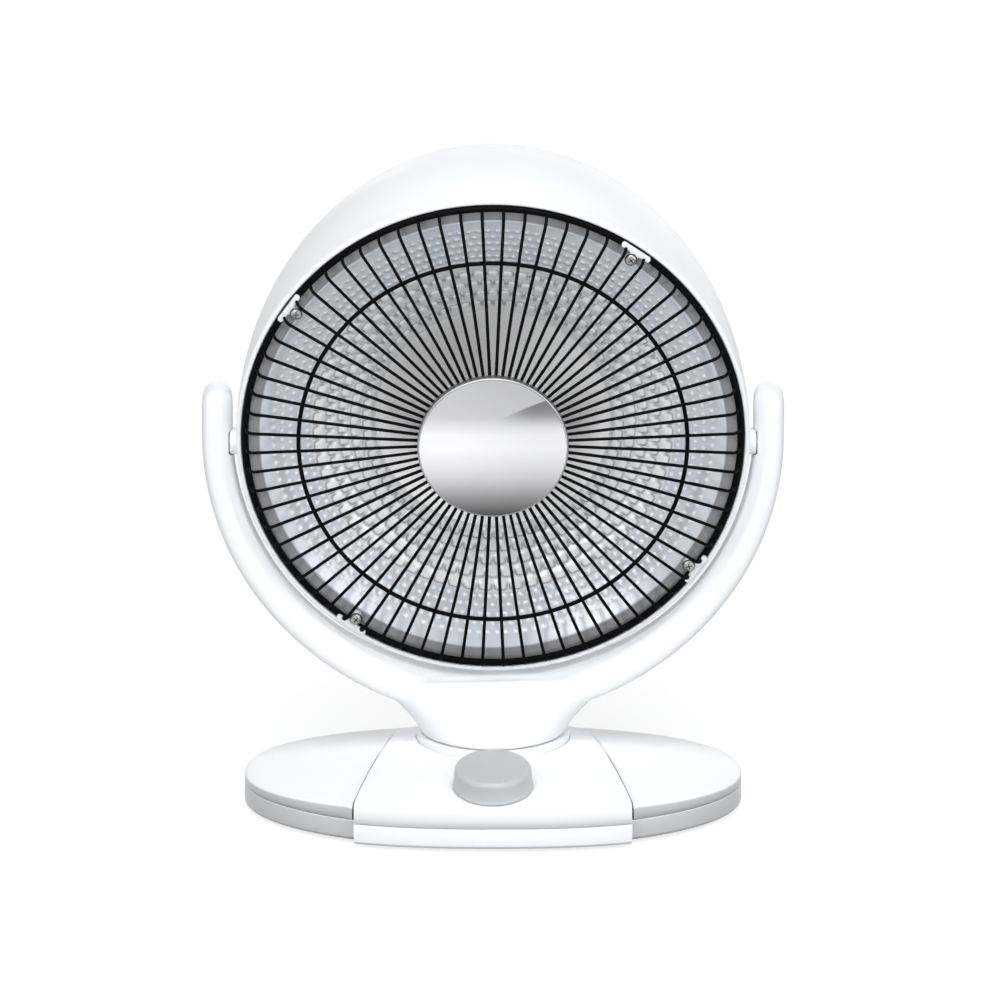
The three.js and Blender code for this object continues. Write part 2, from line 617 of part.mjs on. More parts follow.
function yokeShells() {
  const whole = join(armsSolid(0), pedestalSolid(0));
  const hollow = join(armsSolid(WALL), pedestalSolid(WALL));
  const spigotHole = bore(SPIGOT_R + RUNNING_GAP, YOKE_BOTTOM_Z - 1, YOKE_BOTTOM_Z + WALL + 2, HIDDEN_ROUND);
  const pivotHoles = [-1, 1].flatMap((side) => [
    bore(PIVOT_WINDOW_R, YOKE_INNER_R - WALL, PIVOT_BOSS_OUT + GAP, SMALL_ROUND),
    bore(PIVOT_SHAFT_R + GAP, YOKE_INNER_R - WALL, PIVOT_BOSS_OUT + WALL + GAP, POST_SIDES),
    bore(PIVOT_WASHER_R + GAP, PIVOT_BOSS_OUT + WALL, YOKE_OUTER_R - 2 * WALL, SMALL_ROUND),
  ].map((hole) => hole.rotateY((side * Math.PI) / 2).translate(0, 0, PIVOT_Z)));
  const pivotPads = [-1, 1].map((side) => cylinder(
    PIVOT_WINDOW_R + 2, YOKE_INNER_R + 1, PIVOT_BOSS_OUT + WALL, SMALL_ROUND)
    .rotateY((side * Math.PI) / 2).translate(0, 0, PIVOT_Z));
  const posts = YOKE_SCREWS.map(([x, z]) => alongY(cylinder(YOKE_POST_R, -60, 60, POST_SIDES), x, z));
  const walled = common(join(cut(whole, hollow), ...posts, ...pivotPads), whole);
  const solid = cut(walled, spigotHole, ...pivotHoles);
  const reach = YOKE_OUTER_R + YOKE_CENTRE_Z; // beyond the yoke on every side
  const frontSpace = box([-reach, -reach, 0], [reach, YOKE_SPLIT_Y, reach]);
  const backSpace = box([-reach, YOKE_SPLIT_Y + GAP, 0], [reach, reach, reach]);
  const bores = YOKE_SCREWS.map(([x, z]) => alongY(
    bore(SCREW_R + RUNNING_GAP, -60, -YOKE_SCREW_BACK_Y + YOKE_SCREW_LENGTH + 1, POST_SIDES), x, z));
  const pockets = YOKE_SCREWS.map(([x, z]) => alongY(
    bore(SCREW_HEAD_R + GAP, -60, -YOKE_SCREW_BACK_Y + SCREW_HEAD_HEIGHT + GAP, POST_SIDES), x, z));
  return {
    front: cut(common(solid, frontSpace), ...bores),
    rear: cut(common(solid, backSpace), ...bores, ...pockets),
  };
}

const HUB_FLANGE_R = 34;
const RETAINER_TOP_Z = COLLAR_BOTTOM_Z - GAP - 0.1;
const GROOVE_DEPTH = 1.7;

function yokeHub() {
  const flange = YOKE_BOTTOM_Z + WALL + GAP;
  const grooveR = SPIGOT_R - GROOVE_DEPTH;
  const grooveBottom = RETAINER_TOP_Z - RETAINER_THICKNESS - GAP;
  return turned([
    [SPIGOT_BORE_R, SPIGOT_BOTTOM_Z], [SPIGOT_R, SPIGOT_BOTTOM_Z], [SPIGOT_R, grooveBottom],
    [grooveR, grooveBottom], [grooveR, RETAINER_TOP_Z + 0.2], [SPIGOT_R, RETAINER_TOP_Z + 0.2],
    [SPIGOT_R, flange], [HUB_FLANGE_R, flange], [HUB_FLANGE_R, flange + 3], [SPIGOT_BORE_R, flange + 3],
    [SPIGOT_BORE_R, SPIGOT_BOTTOM_Z],
  ], HIDDEN_ROUND);
}

function swivelRetainer() {
  const inner = (SPIGOT_R - GROOVE_DEPTH) / Math.cos(Math.PI / HIDDEN_ROUND) + 0.2;
  const disc = ring(inner, SPIGOT_R + RETAINER_WIDTH, RETAINER_TOP_Z - RETAINER_THICKNESS, RETAINER_TOP_Z,
    HIDDEN_ROUND);
  return cut(disc, box([-inner * 0.4, 0, 0], [inner * 0.4, 60, 60]));
}

function thrustWasher() {
  const bottom = COLLAR_TOP_Z - WASHER_THICKNESS + 0.1;
  return ring(SPIGOT_R / Math.cos(Math.PI / HIDDEN_ROUND) + GAP, WASHER_R, bottom, YOKE_BOTTOM_Z - 0.2,
    HIDDEN_ROUND);
}

// ---- head ------------------------------------------------------------------------------------

// A piece drawn with its axis along Z, front down, turned to face forward about the bowl's axis.
function onBowl(geometry) {
  return geometry.rotateX(-Math.PI / 2).translate(0, BOWL_Y, BOWL_Z);
}

// The hood's middle climbs from the ledge to the back cover's seat.
function hoodRise(depth) {
  const ledgeBack = LEDGE_DEPTH + LEDGE_THICKNESS;
  return HOOD_RISE * (THREE.MathUtils.clamp(depth, ledgeBack, COVER_SEAT_Z) - ledgeBack);
}

// The bowl's up is -Y before onBowl turns it.
function raiseBack(geometry) {
  const position = geometry.getAttribute("position");
  for (let i = 0; i < position.count; i++) {
    position.setY(i, position.getY(i) - hoodRise(position.getZ(i)));
  }
  return geometry;
}

// The hood's outline from rim to back: [radius, depth] points, drawn in by inset.
function hoodProfile(inset) {
  const turnEnd = Math.asin(HOOD_ELLIPSE_DEPTH / HOOD_LENGTH);
  const steps = 5;
  const points = Array.from({ length: steps + 1 }, (_, i) => {
    const turn = (turnEnd * i) / steps;
    return new THREE.Vector2(RIM_R * Math.cos(turn), HOOD_LENGTH * Math.sin(turn));
  });
  const last = points[steps];
  const slope = (RIM_R / HOOD_LENGTH) * Math.tan(turnEnd);
  const corner = new THREE.Vector2(last.x - slope * (HOOD_DEPTH - last.y), HOOD_DEPTH);
  const end = new THREE.Vector2(COVER_R + GAP, HOOD_DEPTH);
  const curve = new THREE.QuadraticBezierCurve(last, corner, end);
  const outline = [...points, ...curve.getPoints(3).slice(1)];
  if (!inset) return outline.map((point) => [point.x, point.y]);
  return outline.map((point, i) => {
    const along = outline[Math.min(i + 1, outline.length - 1)].clone().sub(outline[Math.max(i - 1, 0)]);
    along.normalize();
    return [point.x - inset * along.y, point.y + inset * along.x];
  });
}

const COVER_SEAT_WIDTH = 8;
const COVER_SEAT_R = COVER_R - COVER_SEAT_WIDTH;
const COVER_SEAT_Z = HOOD_DEPTH - COVER_THICKNESS - GAP;
const BACK_SCREW_R = COVER_R - COVER_SEAT_WIDTH / 2;
const BACK_SCREW_ANGLES = [45, 135, 225, 315];
const HOOD_SIDES = 36;
const CLIP_POST_R = 3.3;
const CLIP_POST_LENGTH = 12;
const CLIP_ANGLES = [0, 1, 2, 3].map((k) => CLIP_FIRST_ANGLE + 90 * k);

function around(geometry, angle) {
  return geometry.rotateZ(radians(angle));
}

function hood() {
  const outside = hoodProfile(0);
  const ledgeBack = LEDGE_DEPTH + LEDGE_THICKNESS;
  const lip = -0.8; // the rim's front edge
  const inside = hoodProfile(HOOD_WALL).filter(([, depth], i) => depth > ledgeBack + 4
    && depth < COVER_SEAT_Z - HOOD_WALL && (i % 2 || depth > HOOD_ELLIPSE_DEPTH / 2));
  const wallR = (GUARD_RING_R + GUARD_RING_WIRE_R + GAP) / Math.cos(Math.PI / HOOD_SIDES);
  const shell = turned([
    [wallR, lip], [RIM_R - 0.5, lip], ...outside,
    [COVER_R + GAP, COVER_SEAT_Z], [COVER_SEAT_R, COVER_SEAT_Z], [COVER_SEAT_R, COVER_SEAT_Z - HOOD_WALL],
    ...inside.reverse(),
    [wallR, ledgeBack], [LEDGE_R, ledgeBack], [LEDGE_R, LEDGE_DEPTH], [wallR, LEDGE_DEPTH], [wallR, lip],
  ], HOOD_SIDES);
  const postEnd = LEDGE_DEPTH + CLIP_POST_LENGTH;
  const clipPosts = CLIP_ANGLES.map((angle) => around(
    cylinder(CLIP_POST_R, LEDGE_DEPTH, postEnd, POST_SIDES).translate(CLIP_SCREW_R, 0, 0), angle));
  const bossY = -BOWL_Y; // the pivot's depth behind the rim
  const bosses = [-1, 1].map((side) => cylinder(
    PIVOT_BOSS_R, PIVOT_BOSS_OUT - PIVOT_BOSS_LENGTH, PIVOT_BOSS_OUT - GAP, SMALL_ROUND)
    .rotateY((side * Math.PI) / 2).translate(0, BOWL_Z, bossY));
  const sheared = raiseBack(shell);
  const clipBores = CLIP_ANGLES.map((angle) => around(
    bore(SCREW_R + RUNNING_GAP, -LEDGE_DEPTH, postEnd - 1, POST_SIDES).translate(CLIP_SCREW_R, 0, 0), angle));
  const pivotBores = [-1, 1].map((side) => bore(
    PIVOT_SHAFT_R + RUNNING_GAP, PIVOT_BOSS_OUT - PIVOT_BOSS_LENGTH - 1, YOKE_OUTER_R, POST_SIDES)
    .rotateY((side * Math.PI) / 2).translate(0, BOWL_Z, bossY));
  const coverBores = BACK_SCREW_ANGLES.map((angle) => coverPlace(bore(
    SCREW_R + RUNNING_GAP, -BACK_SCREW_LENGTH, BACK_SCREW_LENGTH, POST_SIDES), angle));
  return onBowl(cut(join(sheared, ...clipPosts, ...bosses), ...clipBores, ...pivotBores, ...coverBores));
}

const COVER_RISE = hoodRise(COVER_SEAT_Z);

// A small piece on the back cover's screw circle, its z measured from the cover's seat.
function coverPlace(geometry, angle) {
  return around(geometry.translate(BACK_SCREW_R, 0, 0), angle).translate(0, -COVER_RISE, COVER_SEAT_Z);
}

const SLOT_HEIGHT = 4.4;
const SLOT_PITCH = 17;
const SLOT_ROWS = 3; // on each side of the middle row
const COVER_MARGIN = 15; // plain edge around the slots
const BACK_SCREW_LENGTH = 9;
const CLIP_SCREW_LENGTH = 16;
const CAP_SCREW_LENGTH = 8;

function backCover() {
  const disc = cylinder(COVER_R, GAP, COVER_THICKNESS, HOOD_SIDES);
  const field = COVER_R - COVER_MARGIN;
  const slots = Array.from({ length: 2 * SLOT_ROWS + 1 }, (_, row) => {
    const y = (row - SLOT_ROWS) * SLOT_PITCH;
    const half = Math.sqrt(field ** 2 - y ** 2);
    return box([-half, y - SLOT_HEIGHT / 2, -1], [half, y + SLOT_HEIGHT / 2, COVER_THICKNESS + 1]);
  });
  const bar = 3.2;
  const spine = box([-bar, -field - 1, GAP], [bar, field + 1, COVER_THICKNESS]);
  const screwHoles = BACK_SCREW_ANGLES.map((angle) => around(
    bore(SCREW_R + GAP, -1, BACK_SCREW_LENGTH, POST_SIDES).translate(BACK_SCREW_R, 0, 0), angle));
  const grille = cut(join(cut(disc, ...slots), spine), ...screwHoles);
  return onBowl(grille.translate(0, -COVER_RISE, COVER_SEAT_Z));
}

const DISH_FLANGE_Z = LEDGE_DEPTH - DISH_WALL - GAP;

function reflector() {
  const steps = 5;
  const inner = Array.from({ length: steps + 1 }, (_, i) => {
    const radius = DISH_R + (SOCKET_HOLE_R - DISH_R) * (i / steps);
    return [radius, DISH_FLANGE_Z + DISH_DEPTH * (1 - (radius / DISH_R) ** 2)];
  });
  const outer = inner.map(([radius, depth]) => [radius, depth + DISH_WALL]).reverse();
  outer[outer.length - 1] = [DISH_R + DISH_WALL, DISH_FLANGE_Z + DISH_WALL];
  const shell = turned([[FLANGE_R, DISH_FLANGE_Z], ...inner, ...outer, [FLANGE_R, DISH_FLANGE_Z + DISH_WALL],
    [FLANGE_R, DISH_FLANGE_Z]], HOOD_SIDES);
  const holes = CLIP_ANGLES.map((angle) => around(
    bore(SCREW_R + GAP, -CLIP_SCREW_LENGTH, CLIP_SCREW_LENGTH, POST_SIDES)
      .translate(CLIP_SCREW_R, 0, 0), angle));
  return onBowl(cut(shell, ...holes));
}

// The rim ring, in front of the ledge.
function guardRim() {
  return onBowl(new THREE.TorusGeometry(GUARD_RING_R, GUARD_RING_WIRE_R, 4, WIRE_COUNT));
}

// The middle ring lies behind the radial wires.
function guardRing() {
  const depth = -GUARD_PROJECTION + WIRE_R + GAP + MIDDLE_RING_WIRE_R;
  return onBowl(new THREE.TorusGeometry(MIDDLE_RING_R, MIDDLE_RING_WIRE_R, 4, WIRE_COUNT / 2)
    .translate(0, 0, depth));
}

// The radial wires with the hub plate that they are welded to.
function guardWires() {
  const hub = cylinder(HUB_R, -GUARD_PROJECTION - HUB_THICKNESS / 2, -GUARD_PROJECTION + HUB_THICKNESS / 2,
    WIRE_COUNT / 2);
  const rim = new THREE.Vector3(GUARD_RING_R, 0, 0);
  const bend = new THREE.Vector3(GUARD_BEND_R, 0, -GUARD_PROJECTION);
  const start = rim.clone().lerp(bend, (GUARD_RING_WIRE_R + GAP) / rim.distanceTo(bend));
  const path = [start, bend, new THREE.Vector3(HUB_R - 1.5, 0, -GUARD_PROJECTION)];
  const wires = Array.from({ length: WIRE_COUNT }, (_, i) => around(
    wire(path, WIRE_R, 3), (360 * (i + 0.5)) / WIRE_COUNT));
  return onBowl(cut(join(hub, ...wires), bore(
    SCREW_R + GAP, -2 * GUARD_PROJECTION, GUARD_PROJECTION, POST_SIDES)));
}

const CAP_BACK_Z = -GUARD_PROJECTION - HUB_THICKNESS / 2 - GAP;

function guardCap() {
  const front = CAP_BACK_Z - CAP_HEIGHT;
  const shell = turned([
    [0, front], [CAP_R - 2.6, front + 1.1], [CAP_R, front + 3], [CAP_R, CAP_BACK_Z],
    [CAP_R - CAP_WALL, CAP_BACK_Z], [CAP_R - CAP_WALL, front + 3.4], [5, front + CAP_WALL + 0.6],
    [5, CAP_BACK_Z], [0, CAP_BACK_Z],
  ], HOOD_SIDES);
  return onBowl(cut(shell, bore(SCREW_R + RUNNING_GAP, front + 2.4, 20, SMALL_ROUND)));
}

function capScrew() {
  const headFace = -GUARD_PROJECTION + HUB_THICKNESS / 2 + GAP + SCREW_HEAD_HEIGHT;
  return onBowl(screw(CAP_SCREW_LENGTH).rotateX(Math.PI).translate(0, 0, headFace));
}

function clip() {
  const ringFront = -GUARD_RING_WIRE_R - GAP;
  const top = ringFront - CLIP_THICKNESS;
  const half = CLIP_FOOT_WIDTH / 2;
  const ringInner = GUARD_RING_R - GUARD_RING_WIRE_R - GAP;
  const foot = box([LEDGE_R - 2, -half, top], [ringInner, half, DISH_FLANGE_Z - GAP]);
  const bridge = box([LEDGE_R - 2, -half, top], [GUARD_RING_R + 1, half, ringFront]);
  const tab = box([GUARD_RING_R - 0.7, -CLIP_TAB_WIDTH / 2, top],
    [GUARD_RING_R + GUARD_RING_WIRE_R, CLIP_TAB_WIDTH / 2, ringFront]);
  const hole = bore(SCREW_R + GAP, -CLIP_SCREW_LENGTH, CLIP_SCREW_LENGTH, POST_SIDES)
    .translate(CLIP_SCREW_R, 0, 0);
  return cut(join(foot, bridge, tab), hole);
}

const CLIP_FACE_Z = -GUARD_RING_WIRE_R - GAP - CLIP_THICKNESS;

function clipScrew() {
  return screw(CLIP_SCREW_LENGTH).translate(CLIP_SCREW_R, 0, CLIP_FACE_Z - GAP - SCREW_HEAD_HEIGHT);
}

// ---- heating element, inside the dish ----------------------------------------------------------

const DISH_BACK_Z = DISH_FLANGE_Z + DISH_DEPTH * (1 - (SOCKET_HOLE_R / DISH_R) ** 2);
const SOCKET_FRONT_Z = DISH_BACK_Z - 4;
const CORE_BACK_Z = SOCKET_FRONT_Z - GAP;
const CORE_FRONT_Z = CORE_BACK_Z - CORE_LENGTH;

function elementCore() {
  const flangeBack = CORE_FRONT_Z + ELEMENT_FLANGE_THICKNESS;
  return onBowl(turned([[0, CORE_FRONT_Z], [ELEMENT_FLANGE_R, CORE_FRONT_Z], [ELEMENT_FLANGE_R, flangeBack],
    [CORE_R, flangeBack], [CORE_R, CORE_BACK_Z], [0, CORE_BACK_Z]], HIDDEN_ROUND));
}

function heatingWire() {
  const radius = CORE_R + HEAT_WIRE_CLEARANCE + HEAT_WIRE_R;
  const stepsPerLoop = 20;
  const front = CORE_FRONT_Z + ELEMENT_FLANGE_THICKNESS + GAP;
  const back = CORE_BACK_Z;
  const wound = HEAT_WIRE_LOOPS * HEAT_WIRE_PITCH;
  const first = (front + back - wound) / 2;
  const coil = Array.from({ length: HEAT_WIRE_LOOPS * stepsPerLoop + 1 }, (_, i) => {
    const turn = (2 * Math.PI * i) / stepsPerLoop;
    return new THREE.Vector3(radius * Math.cos(turn), radius * Math.sin(turn),
      first + (HEAT_WIRE_PITCH * i) / stepsPerLoop);
  });
  const lead = HEAT_WIRE_R * 2;
  const angle = (2 * Math.PI) / stepsPerLoop;
  const bend = (from, toward) => new THREE.Vector3(radius * Math.cos(from * angle),
    radius * Math.sin(from * angle), toward);
  const points = [
    bend(-1, front), bend(-1, front + lead), ...coil.slice(1, -1),
    bend(1, back - lead), bend(1, back),
  ];
  printLeastGap(coil, stepsPerLoop);
  return onBowl(wire(points, HEAT_WIRE_R, 6));
}

// The least distance between neighbouring loops, wire surface to wire surface.
function printLeastGap(points, stepsPerLoop) {
  let least = Infinity;
  points.forEach((one, i) => points.slice(i + stepsPerLoop / 2).forEach((other) => {
    least = Math.min(least, one.distanceTo(other));
  }));
  console.log("heating wire: least gap to itself " + (least - 2 * HEAT_WIRE_R).toFixed(2) + " mm");
}

function elementSocket() {
  const back = SOCKET_FRONT_Z + SOCKET_LENGTH;
  const flange = DISH_BACK_Z + DISH_WALL + GAP + 1;
  const flangeR = SOCKET_R + 6;
  return onBowl(turned([
    [0, SOCKET_FRONT_Z], [SOCKET_R, SOCKET_FRONT_Z], [SOCKET_R, flange], [flangeR, flange],
    [flangeR, flange + 4], [SOCKET_R, flange + 4], [SOCKET_R - 2, back], [0, back],
  ], HIDDEN_ROUND));
}

const BRACKET_ANGLE = -25; // degrees, clear of the pivot bosses and the clip posts
const BRACKET_THICKNESS = 1.5;
const CUTOUT_R = 45; // the thermal cutout's place along the bracket
const BRACKET_Z = DISH_BACK_Z + DISH_WALL + 6.6 + GAP;

// A steel strap behind the dish that holds the socket and stands on the hood's ledge.
function socketBracket() {
  const half = LEDGE_R - 4;
  const width = SOCKET_R + 6;
  const thick = BRACKET_THICKNESS;
  const footZ = LEDGE_DEPTH + LEDGE_THICKNESS + GAP;
  const strap = box([-half, -width, BRACKET_Z], [half, width, BRACKET_Z + thick]);
  const legs = [-1, 1].map((side) => box(
    [side * half - thick, -width, footZ], [side * half + thick, width, BRACKET_Z + thick]));
  const reach = LEDGE_R + 3;
  const feet = [[-reach, thick - half], [half - thick, reach]].map(([from, to]) => box(
    [from, -width, footZ], [to, width, footZ + thick]));
  const hole = bore(SOCKET_R + GAP, 0, 90, HIDDEN_ROUND);
  return onBowl(around(cut(join(strap, ...legs, ...feet), hole), BRACKET_ANGLE));
}

function thermalCutout() {
  const seat = BRACKET_Z + BRACKET_THICKNESS + GAP;
  const [bodyR, capR] = [8, 5];
  const [step, top] = [seat + 5, seat + 9];
  const profile = [[0, seat], [bodyR, seat], [bodyR, step], [capR, step], [capR, top], [0, top]];
  const body = turned(profile, SMALL_ROUND);
  return onBowl(around(body.translate(CUTOUT_R, 0, 0), BRACKET_ANGLE));
}

// ---- pivots ------------------------------------------------------------------------------------

const PIVOT_HEAD_X = PIVOT_BOSS_OUT + WALL + GAP + 1.2;

function pivotBolt(side) {
  const inner = PIVOT_BOSS_OUT - PIVOT_BOSS_LENGTH + 2;
  return turned([[0, inner], [PIVOT_SHAFT_R, inner], [PIVOT_SHAFT_R, PIVOT_HEAD_X + GAP],
    [5.5, PIVOT_HEAD_X + GAP], [5.5, PIVOT_HEAD_X + 3.5], [0, PIVOT_HEAD_X + 3.5]], SMALL_ROUND)
    .rotateY((side * Math.PI) / 2);
}

function pivotWasher(side) {
  return ring(PIVOT_SHAFT_R + 0.2, PIVOT_WASHER_R, PIVOT_HEAD_X - 1.1, PIVOT_HEAD_X, SMALL_ROUND)
    .rotateY((side * Math.PI) / 2);
}

// ---- assembly ----------------------------------------------------------------------------------

function place(mesh, x, y, z = 0) {
  mesh.position.set(x, y, z);
}

piece(base, "base_tray", baseTray(), whitePlastic);
piece(base, "base_cover", baseCover(), whitePlastic);
piece(base, "control_panel", controlPanel(), whitePlastic);
piece(base, "swivel_collar", swivelCollar(), whitePlastic);
FEET.forEach(([x, y], i) => place(piece(base, `rubber_foot_${i + 1}`, foot(), rubber), x, y));
COVER_SCREWS.forEach(([x, y], i) => place(
  piece(base, `cover_screw_${i + 1}`, screw(BASE_SCREW_LENGTH), steel), x, y, BASE_SCREW_Z));
PANEL_SCREWS.forEach(([x, y], i) => place(
  piece(base, `panel_screw_${i + 1}`, screw(BASE_SCREW_LENGTH), steel), x, y, BASE_SCREW_Z));
place(piece(base, "tip_switch_body", tipSwitchBody(), blackPlastic), SWITCH_X, SWITCH_Y);
place(piece(base, "tip_plunger", tipPlunger(), blackPlastic), SWITCH_X, SWITCH_Y);
place(piece(base, "terminal_block", terminalBlock(), nylon), ...TERMINAL_PLACE);
piece(base, "cord_gland", cordGland(), greyPlastic);

knobAxis.position.set(0, KNOB_Y, crownZ(KNOB_Y) + PANEL_PROUD);
knobAxis.rotation.x = radians(KNOB_TILT);
piece(knobAxis, "knob", knob(), greyPlastic);
piece(knobAxis, "switch_shaft", switchShaft(), steel);
piece(knobAxis, "rotary_switch", rotarySwitch(), blackPlastic);

const shells = yokeShells();
piece(yoke, "yoke_front_shell", shells.front, whitePlastic);
piece(yoke, "yoke_rear_shell", shells.rear, whitePlastic);
piece(yoke, "yoke_hub", yokeHub(), nylon);
piece(yoke, "thrust_washer", thrustWasher(), nylon);
piece(yoke, "swivel_retainer", swivelRetainer(), steel);
YOKE_SCREWS.forEach(([x, z], i) => {
  const placed = alongY(screw(YOKE_SCREW_LENGTH).translate(0, 0, -YOKE_SCREW_BACK_Y), x, z);
  piece(yoke, `yoke_screw_${i + 1}`, placed, steel);
});

head.position.z = PIVOT_Z;
head.rotation.x = radians(HEAD_TILT);
piece(head, "hood", hood(), whitePlastic);
piece(head, "back_cover", backCover(), whitePlastic);
BACK_SCREW_ANGLES.forEach((angle, i) => {
  const back = screw(BACK_SCREW_LENGTH).rotateX(Math.PI)
    .translate(0, 0, COVER_THICKNESS + GAP + SCREW_HEAD_HEIGHT);
  piece(head, `back_cover_screw_${i + 1}`, onBowl(coverPlace(back, angle)), steel);
});
piece(head, "reflector", reflector(), brightAluminium);
piece(head, "guard_rim", guardRim(), blackWire);
piece(head, "guard_ring", guardRing(), blackWire);
piece(head, "guard_wires", guardWires(), blackWire);
piece(head, "guard_cap", guardCap(), chrome);
piece(head, "cap_screw", capScrew(), steel);
CLIP_ANGLES.forEach((angle, i) => {
  piece(head, `guard_clip_${i + 1}`, onBowl(around(clip(), angle)), whitePlastic);
  piece(head, `guard_screw_${i + 1}`, onBowl(around(clipScrew(), angle)), steel);
});
piece(head, "element_core", elementCore(), ceramic);
piece(head, "heating_wire", heatingWire(), nichrome);
piece(head, "element_socket", elementSocket(), ceramic);
piece(head, "socket_bracket", socketBracket(), steel);
piece(head, "thermal_cutout", thermalCutout(), blackPlastic);
for (const [side, name] of [[-1, "left"], [1, "right"]]) {
  piece(head, `pivot_bolt_${name}`, pivotBolt(side), steel);
  piece(head, `pivot_washer_${name}`, pivotWasher(side), nylon);
}

// The origin is the middle of the whole heater's footprint, on the floor.
heater.updateMatrixWorld(true);
const bounds = new THREE.Box3().setFromObject(heater, true);
const middleY = (bounds.min.y + bounds.max.y) / 2;
for (const group of [base, knobAxis, yoke, head]) group.position.y -= middleY;
console.log("swivel axis at y = " + (-middleY).toFixed(3) + " mm");
const knobPlace = knobAxis.position.toArray().map((value) => value.toFixed(3));
console.log("knob axis at " + knobPlace.join(", ") + " mm");

export default heater;
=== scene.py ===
"""Looks of a free-standing parabolic heater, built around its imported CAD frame.

Shapes are written in millimetres and become metres when a mesh is made. X runs to the right seen from
the front, Y to the back, Z up. Pieces of the head are drawn in the bowl's own frame: across, depth
behind the rim plane, and height above the bowl's axis.
"""

import json
import math

import bmesh
import bpy
import numpy as np
from mathutils import Matrix, Vector

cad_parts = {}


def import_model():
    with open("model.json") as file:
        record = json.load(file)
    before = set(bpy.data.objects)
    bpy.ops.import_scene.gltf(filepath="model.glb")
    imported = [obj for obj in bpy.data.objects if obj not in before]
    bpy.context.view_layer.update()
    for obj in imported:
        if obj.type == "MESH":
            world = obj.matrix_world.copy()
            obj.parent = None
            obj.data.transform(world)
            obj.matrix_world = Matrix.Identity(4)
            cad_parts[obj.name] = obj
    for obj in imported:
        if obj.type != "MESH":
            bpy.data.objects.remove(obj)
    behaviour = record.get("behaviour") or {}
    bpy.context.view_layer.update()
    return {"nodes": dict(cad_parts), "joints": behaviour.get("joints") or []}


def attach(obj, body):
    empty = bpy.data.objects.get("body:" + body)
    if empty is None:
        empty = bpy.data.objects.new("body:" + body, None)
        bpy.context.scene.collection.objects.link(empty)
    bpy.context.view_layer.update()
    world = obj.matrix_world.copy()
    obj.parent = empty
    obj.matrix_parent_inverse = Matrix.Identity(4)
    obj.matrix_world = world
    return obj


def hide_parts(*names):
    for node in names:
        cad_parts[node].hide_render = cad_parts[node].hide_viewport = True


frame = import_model()
NODES = frame["nodes"]

# ---- driving dimensions, in millimetres ---------------------------------------------------------

MM = 0.001
SWIVEL_Y = -16.701  # the swivel and the pivots lie this far in front of the heater's middle

PIVOT_Z = 225
HEAD_TILT = math.radians(7)
BOWL_FORWARD = 12
BOWL_ABOVE = 8
RIM_R = 153.5
HOOD_LENGTH = 190
HOOD_ELLIPSE_DEPTH = 128
HOOD_DEPTH = 146
HOOD_WALL = 2.5
HOOD_RISE = 0.174
COVER_R = 84
COVER_THICKNESS = 3
COVER_SEAT = HOOD_DEPTH - COVER_THICKNESS - 0.3
LEDGE_R = 141
LEDGE_DEPTH = 3.6
LEDGE_BACK = 6
PIVOT_BOSS_R = 8
PIVOT_BOSS_OUT = 157.3

DISH_R = 139.4
FLANGE_R = 147
FLANGE_DEPTH = 2.3
DISH_DEPTH = 34
SOCKET_HOLE_R = 14
SPUN_R = 70  # the plain spun centre
TEXTURE_R = 134  # the dimples end here

GUARD_R = 148
GUARD_RING_WIRE = 2.1
MIDDLE_RING_R = 116
MIDDLE_RING_WIRE = 1.3
WIRE_R = 1
WIRE_COUNT = 72
GUARD_FRONT = -10
HUB_R = 38
HUB_HALF_DEPTH = 1.4
CAP_R = 45.2
CAP_HEIGHT = 6.4
CLIP_SCREW_R = 143
CLIP_ANGLES = [55, 145, 235, 325]

BASE_HALF_WIDTH = 149
BASE_MIDDLE_Y = -9
BASE_FRONT_DEPTH = 95
BASE_REAR_DEPTH = 76
BASE_REAR_SQUARENESS = 2.6
RIM_Z = 25
TIP_DROP = 4.5
CROWN_Z = 41
CROWN_POWER = 1.6
TRAY_BOTTOM_Z = 2.5
SEAM_Z = 15
PANEL_HALF_WIDTH = 83
PANEL_CORNER_Y = -88  # from the swivel
PANEL_REAR_R = 61
PANEL_PROUD = 1.6
PANEL_FRONT_PROUD = 2
PANEL_FRONT_SQUARENESS = 2.4
COLLAR_R = 46
COLLAR_BOTTOM_Z = 38.6
COLLAR_TOP_Z = 43.6
COLLAR_SKIRT_Z = 33  # the rim runs down into the panel's hole, below the crown's lower back
KNOB_R = 24
KNOB_HEIGHT = 14
KNOB_Y = -77
KNOB_TILT = math.radians(12)

AXIS_R = 0.01  # where a turned profile starts, next to its axis


def shift(x, y, z):
    """A move in millimetres."""
    return Matrix.Translation(Vector((x, y, z)) * MM)


SWIVEL = shift(0, SWIVEL_Y, 0)
TILTED = Matrix.Rotation(HEAD_TILT, 4, "X")
BOWL = shift(0, SWIVEL_Y, PIVOT_Z) @ TILTED @ shift(0, -BOWL_FORWARD, BOWL_ABOVE)

# ---- mesh helpers -------------------------------------------------------------------------------


def added(name, data):
    """A new object in the scene."""
    made = bpy.data.objects.new(name, data)
    bpy.context.scene.collection.objects.link(made)
    return made


def place_piece(mesh, name, body, slot, material, stands_for=(), place=None, sharp=40, own_axes=False):
    """A piece of the heater from a finished mesh: it rides on a body and takes a finish, or keeps its own.

    With own_axes its place stays in the object, so that its material can follow the piece's own axes.
    """
    mesh.shade_smooth()
    mesh.set_sharp_from_angle(angle=math.radians(sharp))
    if material is not None:
        mesh.materials.clear()
        mesh.materials.append(material)
    piece = added(name, mesh)
    if own_axes:
        piece.matrix_world = place
    elif place is not None:
        mesh.transform(place)
    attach(piece, body)
    if stands_for:
        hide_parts(*stands_for)
    return piece


